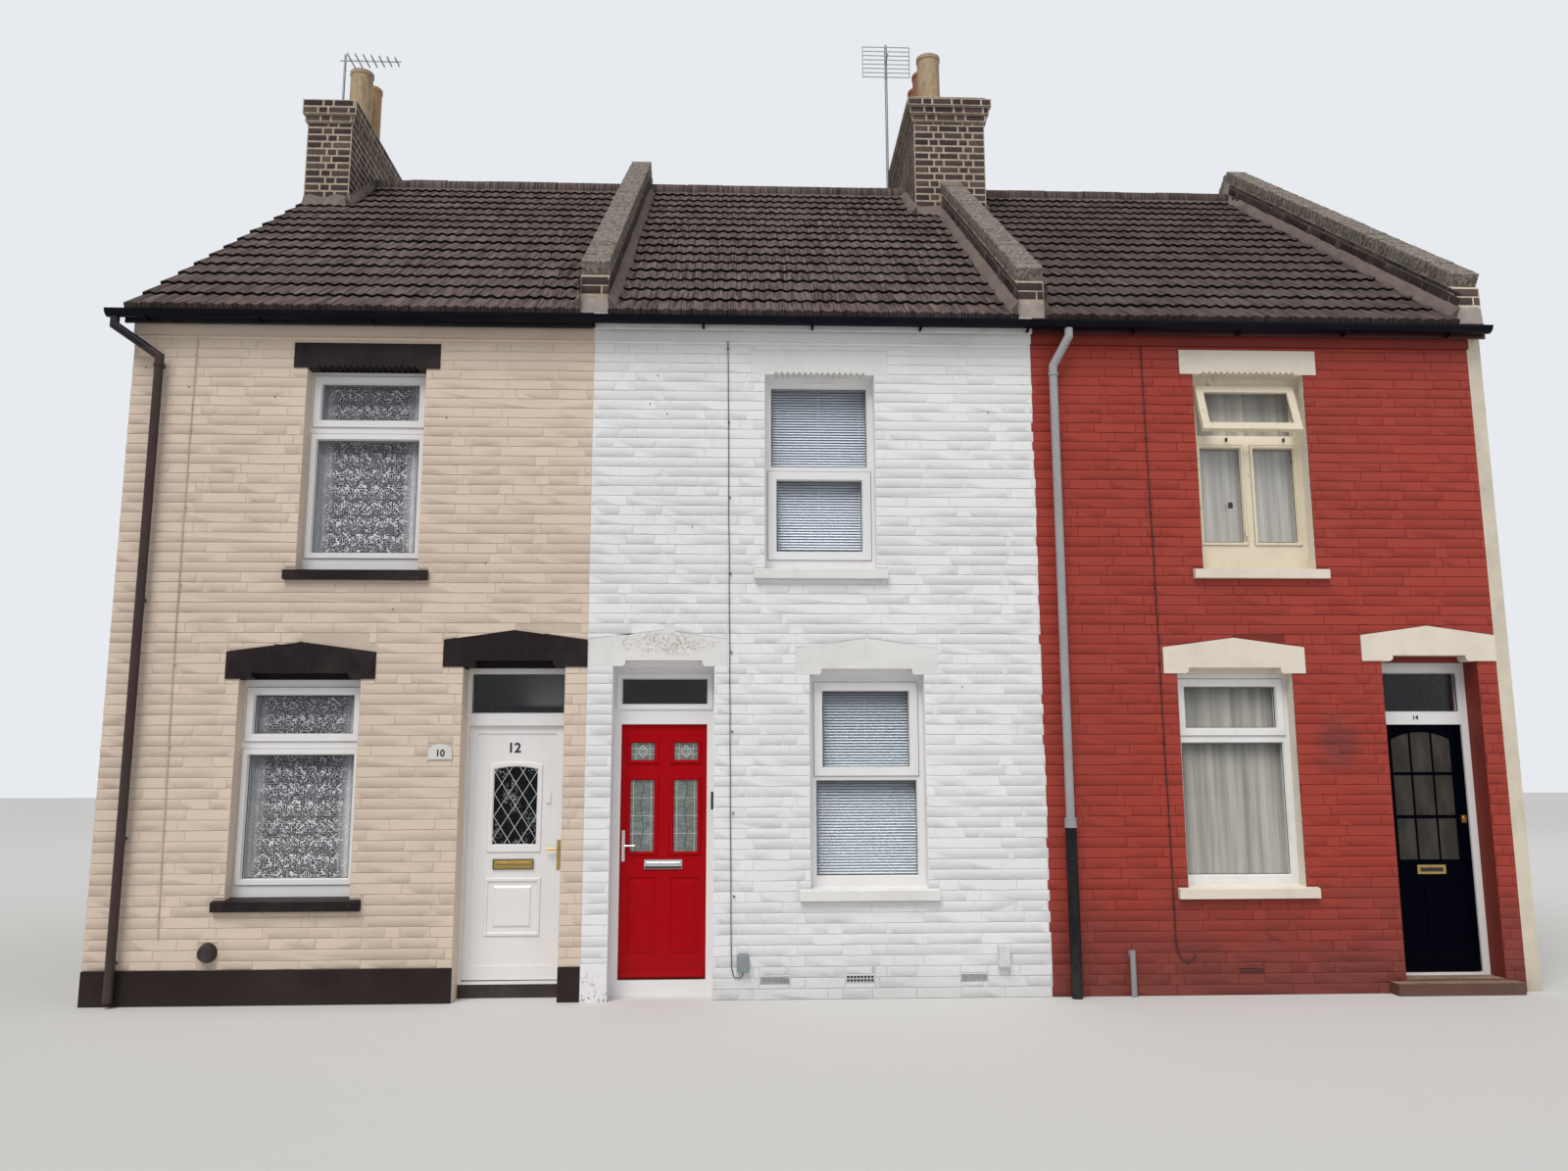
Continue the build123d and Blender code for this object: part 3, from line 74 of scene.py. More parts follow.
# Front openings: left, right, sill and head of each window, and of each doorway
WINDOWS = {
    "cream_ground": (-4.44, -3.52, 0.765, 2.41),
    "cream_upper": (-4.067, -3.127, 3.275, 4.905),
    "white_ground": (-0.051, 0.849, 0.815, 2.445),
    "white_upper": (-0.401, 0.489, 3.295, 4.89),
    "red_ground": (2.87, 3.8, 0.81, 2.455),
    "red_upper": (3.131, 4.061, 3.31, 4.93),
}
DOORS = {
    "cream_door": (-2.738, -1.955, 0.0, 2.505),
    "white_door": (-1.585, -0.798, 0.0, 2.51),
    "red_door": (4.533, 5.317, 0.0, 2.555),
}


# Materials: short calls that add nodes to the tree being made
TREE = None


def work_on(tree):
    """Makes a tree the one that the calls below add to."""
    global TREE
    TREE = tree


def fill(socket, value):
    """Links a socket to what feeds it, or sets its value; a colour gets its alpha."""
    if isinstance(value, bpy.types.NodeSocket):
        TREE.links.new(value, socket)
    else:
        plain_colour = socket.type == "RGBA" and len(value) == 3
        socket.default_value = (*value, 1.0) if plain_colour else value


def add(kind, inputs=(), **settings):
    """Adds a node. inputs maps a socket's name or number to a value or to what feeds it."""
    made = TREE.nodes.new("ShaderNode" + kind)
    for key, value in settings.items():
        setattr(made, key, value)
    for key, value in dict(inputs).items():
        fill(made.inputs[key], value)
    return made


def maths(operation, a, b=0.0, clamp=False):
    return add("Math", {0: a, 1: b}, operation=operation, use_clamp=clamp).outputs[0]


def times(a, b):
    return maths("MULTIPLY", a, b)


def plus(a, b, clamp=False):
    return maths("ADD", a, b, clamp)


def beyond(a, b):
    return maths("GREATER_THAN", a, b)


def below(a, b):
    return maths("LESS_THAN", a, b)


def spread(value, low, high, to_low=0.0, to_high=1.0):
    """Stretches a value from low..high to another range, and clips it."""
    return add("MapRange", {0: value, 1: low, 2: high, 3: to_low, 4: to_high}).outputs[0]


def blend(factor, a, b):
    """Mixes two colours, each a tuple or a socket."""
    return add("Mix", {0: factor, 6: a, 7: b}, data_type="RGBA").outputs[2]


def between(factor, a, b):
    """Mixes two numbers."""
    return add("Mix", {0: factor, 2: a, 3: b}, data_type="FLOAT").outputs[0]


def place(stretch=None):
    """A point of the row, stretched where a pattern runs along one axis."""
    at = add("TexCoord").outputs["Object"]
    return stretched(at, stretch) if stretch else at


def stretched(at, stretch):
    return add("Mapping", {"Vector": at, "Scale": stretch}).outputs[0]


def axes(at=None):
    """How far a point of the row lies along the street, into the houses and up."""
    return add("SeparateXYZ", {0: at or place()}).outputs


def away_from(point, stretch):
    """Distance from a point of the row."""
    return add("VectorMath", {0: place(stretch), 1: point}, operation="DISTANCE").outputs["Value"]


def mark(name="brick"):
    """A value that the mesh itself carries, such as the tone of each brick."""
    return add("Attribute", attribute_name=name).outputs["Fac"]


def noise(scale, detail, rough=0.55, stretch=None, at=None):
    return add("TexNoise", {"Vector": at or place(stretch), "Scale": scale, "Detail": detail,
                            "Roughness": rough}).outputs["Fac"]


def laid(first, second, joint, gap, width, height, offset=0.5):
    """Floor tiles or boards in two tones, with the joints between them."""
    return add("TexBrick", {"Vector": place(), "Color1": first, "Color2": second, "Mortar": joint,
                            "Scale": 1.0, "Mortar Size": gap, "Brick Width": width,
                            "Row Height": height}, offset=offset).outputs


def darker(paint, share):
    return tuple(c * share for c in paint)


def group(name, sockets_in, outputs):
    """Starts a node group; returns its inputs and outputs."""
    tree = bpy.data.node_groups.new(name, "ShaderNodeTree")
    for label, kind, value in sockets_in:
        made = tree.interface.new_socket(label, in_out="INPUT", socket_type="NodeSocket" + kind)
        made.default_value = value
    for label, kind in outputs:
        tree.interface.new_socket(label, in_out="OUTPUT", socket_type="NodeSocket" + kind)
    work_on(tree)
    return tree.nodes.new("NodeGroupInput").outputs, tree.nodes.new("NodeGroupOutput").inputs


def use(shared, **inputs):
    """Places a shared node group in the tree, with its own values."""
    return add("Group", inputs, node_tree=shared).outputs


def make_weather():
    """Soil in blotches, streaks down the face and splashes above the ground."""
    given, out = group(
        "weather",
        [("Colour", "Color", (1, 1, 1, 1)), ("Soil", "Color", (0.1, 0.08, 0.06, 1)),
         ("Amount", "Float", 0.3), ("Streaks", "Float", 0.3), ("Splash", "Float", 0.0),
         ("Scale", "Float", 1.5)],
        [("Colour", "Color"), ("Mask", "Float")])
    patches = noise(given["Scale"], 6.0, 0.62)
    runs = noise(1.0, 6.0, 0.65, (24.0, 24.0, 1.9))
    ragged = maths("MULTIPLY_ADD", noise(4.0, 4.0), 0.35)
    fill(ragged.node.inputs[2], -0.18)
    low = spread(plus(axes()[2], ragged), 0.42, 0.0)
    mask = times(spread(patches, 0.44, 0.72), given["Amount"])
    mask = plus(mask, times(spread(runs, 0.54, 0.82), given["Streaks"]))
    mask = plus(mask, times(low, given["Splash"]), clamp=True)
    fill(out["Colour"], blend(mask, given["Colour"], given["Soil"]))
    fill(out["Mask"], mask)
    return TREE


def make_per_house():
    """Picks the finish of the cream, the white or the red house by the place along the row."""
    given, out = group("per_house", [(label, "Color", (1, 1, 1, 1))
                                     for label in ("Cream", "White", "Red")],
                       [("Colour", "Color")])
    along = axes()[0]
    left = blend(beyond(along, CREAM_WHITE), given["Cream"], given["White"])
    fill(out["Colour"], blend(beyond(along, WHITE_RED), left, given["Red"]))
    return TREE


def make_grit():
    """Relief of a rough surface: coarse dents with fine grain over them."""
    given, out = group(
        "grit", [("Dents", "Float", 12.0), ("Grain", "Float", 140.0), ("Share", "Float", 0.4)],
        [("Height", "Float")])
    fill(out["Height"], between(given["Share"], noise(given["Dents"], 5.0, 0.6),
                                noise(given["Grain"], 2.0, 0.6)))
    return TREE


WEATHER = make_weather()
PER_HOUSE = make_per_house()
GRIT = make_grit()


def soiled(base, soil, amount, streaks, splash, scale):
    """The soiled colour, and how much soil lies at each place."""
    return use(WEATHER, Colour=base, Soil=soil, Amount=amount, Streaks=streaks, Splash=splash,
               Scale=scale)


def grit(dents, grain, share):
    return use(GRIT, Dents=dents, Grain=grain, Share=share)[0]


def by_house(cream, white, red):
    return use(PER_HOUSE, Cream=cream, White=white, Red=red)[0]


def finish_of(name, roughness, metallic=0.0, transmission=0.0, ior=1.5, shine=0.5):
    """A new material, whose tree the calls above then add to."""
    material = bpy.data.materials.new(name)
    material.use_nodes = True
    work_on(material.node_tree)
    for socket, value in (("Roughness", roughness), ("Metallic", metallic),
                          ("Transmission Weight", transmission), ("IOR", ior),
                          ("Specular IOR Level", shine)):
        shader_of(material)[socket].default_value = value
    return material


def shader_of(material):
    return material.node_tree.nodes["Principled BSDF"].inputs


def feed(material, base, rough, height, distance, strength, alpha=None):
    """Gives the shader its colour, roughness, relief and alpha; None leaves one as it is."""
    relief = add("Bump", {"Height": height, "Distance": distance, "Strength": strength})
    for socket, value in (("Base Color", base), ("Roughness", rough), ("Alpha", alpha),
                          ("Normal", relief.outputs[0])):
        if value is not None:
            fill(shader_of(material)[socket], value)
    return material


def smudged(base):
    """A dark smudge on the red house, between its window and its door."""
    smudge = plus(away_from((4.13, FRONT, 1.53), (1, 1, 0.8)), times(noise(9.0, 4.0), 0.2))
    return blend(spread(smudge, 0.34, 0.18, 0.0, 0.5), base, (0.10, 0.045, 0.045))


def inside_openings(shown, soiled_paint, reveal, along, deep, high):
    """The paint inside the openings of one house, whose colour says which house it is."""
    inside = beyond(deep, plus(times(noise(30.0, 4.0), 0.02), FRONT - 0.004))
    shown = blend(inside, shown, reveal)
    if reveal == IVORY:
        return blend(times(inside, beyond(along, 4.4)), shown, soiled_paint)
    # Over the cream house's openings the notch behind the lintel takes the lintels' plum at half its
    # tone: plum paint, darkened as painted shade of the recess.
    if reveal == CREAM:
        above = maths("SUBTRACT", high, times(beyond(along, -3.0), 0.087))
        notch = times(beyond(above, 2.404), below(above, 2.8))
        notch = maths("MAXIMUM", notch, beyond(high, 4.899))
        return blend(times(inside, notch), shown, darker(PLUM, 0.5))
    block = times(below(high, 0.275), below(along, -1.58))
    shown = blend(block, shown, WHITE)
    pits = spread(noise(42.0, 6.0, 0.7), 0.55, 0.6)
    low_down = spread(plus(high, times(noise(6.0, 4.0), 0.3)), 0.38, 0.16)
    return blend(times(times(pits, block), low_down), shown, (0.10, 0.085, 0.075))


def painted_wall(name, paint, soil, amount, streaks, splash, gloss=0.55, joint=1.0,
                 reveal=None, line=0.45, low=None):
    """Masonry paint over brick. joint darkens it for the wall behind the raised courses; line is
    the share of the paint on the undersides of the courses, a painted shade under each course;
    reveal is the paint inside the openings, low that at the foot."""
    material = finish_of(name, gloss, shine=0.2)
    base = darker(paint, joint)
    shade = mark()
    varied = blend(spread(shade, 0.1, 1, 0.0, 0.35), base, darker(base, 0.975))
    # On the raised courses, faces of tone 0 (their undersides) take paint darkened by line's share,
    # patchy along each course: painted shade under the courses.
    if joint == 1.0:
        under = blend(spread(noise(2.6, 5.0, 0.6), 0.5, 0.62), darker(base, 0.6 + 0.4 * line),
                      darker(base, line))
        varied = blend(spread(shade, 0.02, 0.06, 1.0, 0.0), varied, under)
    fine = spread(noise(26.0, 5.0, stretch=(0.7, 1, 1.2)), 0.45, 0.8, 0.0, 0.22)
    base = blend(fine, varied, darker(base, 0.84))
    along, deep, high = axes()
    if low:
        edge = plus(high, times(noise(3.0, 5.0), 1.1))
        base = smudged(blend(spread(edge, 1.5, 0.75, 0.0, 0.75), base, low))
    dirty, mask = soiled(base, soil, amount, streaks, splash, 0.9)
    shown = inside_openings(dirty, dirty, reveal, along, deep, high) if reveal else dirty
    rough_foot = spread(high, 0.3, 0.2, 0.5, 1.0)
    return feed(material, shown, spread(mask, 0, 1, gloss, 0.85),
                times(grit(21.0, 150.0, 0.15), rough_foot), 0.014, 0.6)


def stock_brick(name, tones, soot, joint=None, front=None):
    """Weathered clay brick: each brick takes its tone from its own attribute.

    joint is the mortar of the wall behind the bricks, front the render on the face towards the
    street.
    """
    material = finish_of(name, 0.9, shine=0.2)
    if joint:
        base = blend(spread(noise(22.0, 5.0), 0.35, 0.7), joint, darker(joint, 0.62))
    else:
        shade = mark()
        base = tones[0]
        for step, tone in enumerate(tones[1:], 1):
            edge = step / len(tones)
            base = blend(spread(shade, edge - 0.08, edge + 0.08), base, tone)
        speck = spread(noise(60.0, 5.0, 0.7), 0.45, 0.75)
        base = blend(speck, base, darker(tones[0], 0.55))
    if front:
        base = blend(below(axes()[1], FRONT + 0.002), base, front)
    dirty = soiled(base, soot[:3], soot[3], soot[3] * 0.7, 0.2, 2.4)[0]
    return feed(material, dirty, None, grit(45.0, 220.0, 0.45), 0.008, 0.8)


def painted_stone(name, cream, white, red, bare, chips, gloss=0.5, shine=0.3):
    """Paint on stone dressings, one colour a house, worn to the bare stone in chips."""
    material = finish_of(name, gloss, shine=shine)
    dirty = soiled(by_house(cream, white, red), (0.16, 0.13, 0.1), 0.14, 0.07, 0.0, 3.0)[0]
    worn = spread(noise(17.0, 8.0, 0.72), 0.66, 0.7, 0.0, chips)
    if chips < 0.4:
        patch = plus(away_from((-0.315, FRONT - 0.02, 2.69), (0.27, 1, 1)),
                     times(noise(11.0, 4.0), 0.16))
        pitted = times(spread(patch, 0.19, 0.13),
                       spread(noise(52.0, 6.0, 0.7), 0.46, 0.56, 0.0, 0.75))
        foot = times(spread(axes()[2], 0.34, 0.26),
                     spread(noise(60.0, 6.0, 0.7), 0.5, 0.58, 0.0, 0.8))
        worn = maths("MAXIMUM", worn, maths("MAXIMUM", pitted, foot))
    return feed(material, blend(worn, dirty, bare), spread(worn, 0, 1, gloss, 0.9),
                grit(30.0, 120.0, 0.35), 0.004, 0.7)


def plain_paint(name, paint, soil, amount, streaks, gloss, scale, relief=0.0008, dents=30.0,
                metallic=0.0, splash=0.0, shine=0.4):
    """A smooth finish with a little soil on it: plastic, gloss paint or bare metal."""
    material = finish_of(name, gloss, metallic, shine=shine)
    dirty, mask = soiled(paint, soil, amount, streaks, splash, scale)
    return feed(material, dirty, spread(mask, 0, 1, gloss, gloss + 0.35),
                grit(dents, 260.0, 0.25), relief, 0.6)


def grained_paint(name, paint, gloss, deep, shine, soil, amount):
    """Paint over a wood grain that runs up the leaf."""
    material = finish_of(name, gloss, shine=shine)
    fibres = noise(3.0, 6.0, 0.65, (40.0, 40.0, 2.0))
    toned = blend(spread(fibres, 0.35, 0.7, 0.0, 0.35), paint, darker(paint, 0.72))
    dirty = soiled(toned, soil, amount, amount, 0.12, 4.0)[0]
    return feed(material, dirty, spread(fibres, 0.3, 0.8, gloss, gloss + 0.12), fibres, deep, 0.5)


def clear_glass(name, tint, waves, scale):
    """Glass that lets the light in without a shadow."""
    material = finish_of(name, 0.0, transmission=1.0, ior=1.45)
    fill(shader_of(material)["Base Color"], tint)
    lamp_ray = add("LightPath").outputs["Is Shadow Ray"]
    clear = add("BsdfTransparent", {"Color": tint})
    surface = TREE.nodes["Principled BSDF"].outputs[0]
    either = add("MixShader", {0: lamp_ray, 1: surface, 2: clear.outputs[0]})
    fill(TREE.nodes["Material Output"].inputs["Surface"], either.outputs[0])
    return feed(material, None, None, noise(scale, 2.0), waves, 0.4)


CREAM = (0.72, 0.585, 0.475)
WHITE = (0.83, 0.82, 0.825)
RED = (0.36, 0.048, 0.032)
PLUM = (0.0175, 0.0105, 0.0125)
IVORY = (0.72, 0.66, 0.57)
LIME = (0.44, 0.39, 0.32)
REAR_STONE = (0.5, 0.46, 0.4)
PLASTIC = (0.82, 0.805, 0.80)


def roof_tile_finish():
    """Dark brown concrete tiles: granules, paler backs, dark streaks and lichen; the lips of the
    courses, of tone 0, are painted near black as the shade under them.
    """
    material = finish_of("brown_concrete_tile", 0.85, shine=0.2)
    base = blend(spread(noise(0.8, 4.0), 0.35, 0.7), (0.100, 0.072, 0.064), (0.140, 0.104, 0.092))
    shade = mark()
    streaked = noise(1.0, 5.0, 0.65, (120.0, 2.6, 2.6))
    sooty = noise(1.0, 5.0, 0.65, (70.0, 1.7, 1.7))
    for share, tone in (
            (spread(shade, 0.5, 1.0, 0.0, 0.6), (0.175, 0.128, 0.115)),
            (spread(shade, 0.45, 0.2, 0.0, 0.45), (0.07, 0.046, 0.048)),
            (spread(noise(190.0, 3.0, 0.7), 0.35, 0.7, 0.0, 0.45), (0.045, 0.032, 0.029)),
            (spread(streaked, 0.46, 0.6, 0.0, 0.8), (0.26, 0.195, 0.18)),
            (spread(sooty, 0.54, 0.40, 0.0, 0.85), (0.024, 0.016, 0.017)),
            (times(beyond(axes()[0], WHITE_RED), 0.35), (0.05, 0.035, 0.033)),
            (spread(noise(34.0, 6.0, 0.7), 0.7, 0.74, 0.0, 0.6), (0.34, 0.31, 0.25))):
        base = blend(share, base, tone)
    # Faces of tone 0, the lips and tails of the courses, painted near black: painted shade under each
    # course.
    base = blend(spread(shade, 0.02, 0.15), (0.010, 0.008, 0.009), base)
    return feed(material, base, None, grit(50.0, 260.0, 0.6), 0.005, 0.7)


def coping_finish():
    """Weathered coping bricks: grey with pale lichen on top."""
    material = finish_of("coping_brick", 0.92)
    base = blend(mark(), (0.15, 0.125, 0.105), (0.24, 0.205, 0.17))
    base = blend(spread(noise(26.0, 6.0, 0.7), 0.44, 0.6, 0.0, 0.9), base, (0.40, 0.345, 0.29))
    base = blend(spread(noise(48.0, 5.0, 0.7), 0.5, 0.6, 0.0, 0.9), base, (0.045, 0.038, 0.035))
    return feed(material, base, None, grit(60.0, 240.0, 0.4), 0.009, 0.9)


def lace_finish(paint):
    """White net with small scrolls in rows; its sides are doubled and plainer."""
    material = finish_of("net_lace", 0.85)
    at = add("UVMap", uv_map="cloth").outputs[0]
    scrolls = maths("ABSOLUTE", maths("SUBTRACT", noise(52.0, 0.0, at=at), 0.5))
    across, along = axes(at)[:2]
    arch = times(maths("ABSOLUTE", maths("SINE", times(across, 26.0))), 0.045)
    rows = maths("FRACT", times(maths("SUBTRACT", along, arch), 7.5))
    rows = spread(rows, 0.3, 1.0, 0.5, 1.3)
    line = spread(maths("DIVIDE", scrolls, rows), 0.045, 0.085, 1.0, 0.0)
    fall = noise(1.0, 3.0, at=stretched(at, (4.0, 1.2, 1.0)))
    doubled = spread(plus(mark("fold"), times(fall, 0.5)), 0.82, 1.02, 0.0, 0.8)
    pleat = noise(1.0, 3.0, at=stretched(at, (22.0, 0.4, 1.0)))
    thread = between(doubled, line, spread(pleat, 0.35, 0.65, 0.4, 0.85))
    # Between the threads the net takes a near-black colour: painted shade of the room behind it.
    tone = blend(thread, (0.022, 0.021, 0.028), paint)
    return feed(material, tone, None, noise(900.0, 1.0, at=at), 0.0004, 0.4,
                spread(thread, 0.0, 1.0, 0.7, 0.98))


def pleated_finish(paint):
    """Cloth with fine pleats, thin enough to let a little light through; the pleats are darker
    stripes of painted shade.
    """
    material = finish_of("pleated_cloth", 0.85)
    at = add("UVMap", uv_map="cloth").outputs[0]
    fibres = noise(900.0, 1.0, at=at)
    folds = spread(noise(1.0, 4.0, at=stretched(at, (11.0, 0.4, 1.0))), 0.38, 0.6)
    # Darker paint in the pleats: painted shade of their folds.
    return feed(material, blend(folds, darker(paint, 0.55), paint), None, fibres, 0.0004, 0.4,
                spread(fibres, 0.3, 0.7, 0.92, 0.99))


def frames_by_height(name, low, high, level):
    """White plastic below a level and cream paint on timber above it."""
    material = finish_of(name, 0.4)
    above = beyond(axes()[2], level)
    cracks = spread(noise(14.0, 8.0, 0.75, (1.0, 1.0, 0.35)), 0.6, 0.64)
    paint = blend(times(cracks, times(above, 0.75)), blend(above, low, high), (0.21, 0.16, 0.115))
    dirty = soiled(paint, (0.3, 0.26, 0.2), 0.14, 0.1, 0.0, 5.0)[0]
    return feed(material, dirty, spread(above, 0, 1, 0.25, 0.6), grit(60.0, 200.0, 0.3), 0.0012,
                0.5)


def fascia_finish():
    """The boards under the eaves, in each house's own colour."""
    material = finish_of("fascia_paint", 0.35)
    paint = by_house((0.012, 0.013, 0.018), (0.70, 0.69, 0.67), (0.05, 0.012, 0.014))
    dirty = soiled(paint, (0.1, 0.085, 0.07), 0.18, 0.18, 0.0, 4.0)[0]
    return feed(material, dirty, None, grit(30.0, 160.0, 0.3), 0.001, 0.6)


def clay_finish():
    """Buff pots at the front and on the gable, redder ones behind, all sooty at the top."""
    material = finish_of("fired_clay", 0.75)
    along, deep, _ = axes()
    red_one = times(beyond(along, 0.0), maths("MAXIMUM", beyond(deep, -0.36), beyond(along, 1.76)))
    rear_gable = times(below(along, 0.0), beyond(deep, 0.25))
    base = blend(red_one, (0.47, 0.34, 0.205), (0.36, 0.135, 0.075))
    base = blend(rear_gable, base, (0.52, 0.31, 0.16))
    base = blend(spread(noise(18.0, 7.0, 0.7), 0.5, 0.72, 0.0, 0.7), base, (0.17, 0.12, 0.085))
    runs = spread(noise(2.0, 5.0, 0.6, (14.0, 14.0, 1.5)), 0.5, 0.75, 0, 0.5)
    base = blend(runs, base, (0.10, 0.075, 0.06))
    return feed(material, base, None, grit(40.0, 200.0, 0.4), 0.003, 0.7)


def obscured(name, deep, pale, gloss, scale, relief, shine, stretch=None, painted_glints=0.0):
    """Patterned glass that hides the room: dark and pale flecks under a wavy gloss, and, where its
    last share is given, bright curling lines that come and go: painted glints off the glass."""
    material = finish_of(name, gloss, shine=shine)
    flecks = noise(scale, 3.0, 0.5, stretch)
    base = blend(spread(flecks, 0.4, 0.66), deep, pale)
    base = blend(spread(noise(5.0, 3.0), 0.35, 0.65, 0.0, 0.5), base, deep)
    if painted_glints:
        # Bright curling lines: painted glints off the crackled glass.
        glint_curl = maths("ABSOLUTE", maths("SUBTRACT", noise(32.0, 2.0), 0.5))
        glint_curl = times(spread(glint_curl, 0.006, 0.016, 1.0, 0.0),
                     spread(noise(7.0, 2.0), 0.5, 0.56, 0.0, painted_glints))
        base = blend(glint_curl, base, (0.75, 0.76, 0.78))
    return feed(material, base, None, flecks, relief, 0.6)


def quarry_finish():
    """Square red floor tiles in mortar lines."""
    material = finish_of("quarry_tiles", 0.55)
    clay = (0.30, 0.12, 0.075)
    tiles = laid(clay, darker(clay, 0.8), (0.2, 0.17, 0.14), 0.004, 0.15, 0.15, 0.0)
    return feed(material, tiles["Color"], None, tiles["Fac"], -0.002, 0.5)


def steps_finish():
    """Plum paint under the cream door, worn paint under the white house's, red tiles at the end."""
    material = finish_of("step_finish", 0.6, shine=0.3)
    along = axes()[0]
    upward = beyond(axes(add("NewGeometry").outputs["Normal"])[2], 0.5)
    tiles = laid((0.15, 0.052, 0.035), (0.12, 0.04, 0.028), (0.1, 0.08, 0.07), 0.003, 0.15, 0.15,
                 0.0)["Color"]
    worn = spread(noise(9.0, 6.0, 0.65), 0.35, 0.6, 0.5, 1.0)
    tiles = blend(times(upward, worn), tiles, (0.36, 0.245, 0.155))
    paint = blend(beyond(along, CREAM_WHITE), PLUM, (0.60, 0.58, 0.55))
    base = blend(beyond(along, WHITE_RED), paint, tiles)
    dirty = soiled(base, (0.12, 0.10, 0.085), 0.35, 0.05, 0.25, 6.0)[0]
    return feed(material, dirty, None, grit(40.0, 200.0, 0.4), 0.004, 0.6)


def board_floor():
    """Pine boards along the row, with their grain."""
    material = finish_of("pine_boards", 0.5)
    boards = laid((0.33, 0.2, 0.1), (0.26, 0.15, 0.075), (0.05, 0.03, 0.02), 0.003, 2.4, 0.14)
    grain = spread(noise(4.0, 5.0, stretch=(1.0, 14.0, 14.0)), 0.4, 0.7, 0, 0.5)
    return feed(material, blend(grain, boards["Color"], (0.14, 0.08, 0.04)), None, boards["Fac"],
                -0.002, 0.5)


def pipes_finish():
    """Dark brown pipe on the cream house; on the red one grey above a black foot."""
    material = finish_of("downpipe_paint", 0.4, shine=0.25)
    along, _, high = axes()
    pipe = blend(beyond(high, 1.26), (0.004, 0.005, 0.008), (0.36, 0.35, 0.36))
    brown = blend(beyond(high, 5.02), (0.052, 0.032, 0.030), (0.012, 0.013, 0.018))
    dirty = soiled(blend(beyond(along, 0.0), brown, pipe), (0.09, 0.075, 0.065), 0.2, 0.15, 0.15,
                   6.0)[0]
    return feed(material, dirty, None, grit(30.0, 200.0, 0.3), 0.001, 0.6)


def fittings_finish():
    """Boxes and covers: plum on the cream house, grey, white and steel further along."""
    material = finish_of("fittings_paint", 0.45)
    along, _, high = axes()
    paint = blend(beyond(high, 1.0), PLUM, (0.72, 0.70, 0.66))
    grey = blend(beyond(high, 1.0), (0.24, 0.29, 0.31), (0.02, 0.02, 0.022))
    for start, tone in ((CREAM_WHITE, grey), (1.0, (0.76, 0.76, 0.75)), (2.0, (0.30, 0.31, 0.32))):
        paint = blend(beyond(along, start), paint, tone)
    dirty = soiled(paint, (0.2, 0.16, 0.13), 0.2, 0.15, 0.15, 8.0)[0]
    return feed(material, dirty, None, grit(50.0, 200.0, 0.3), 0.001, 0.5)


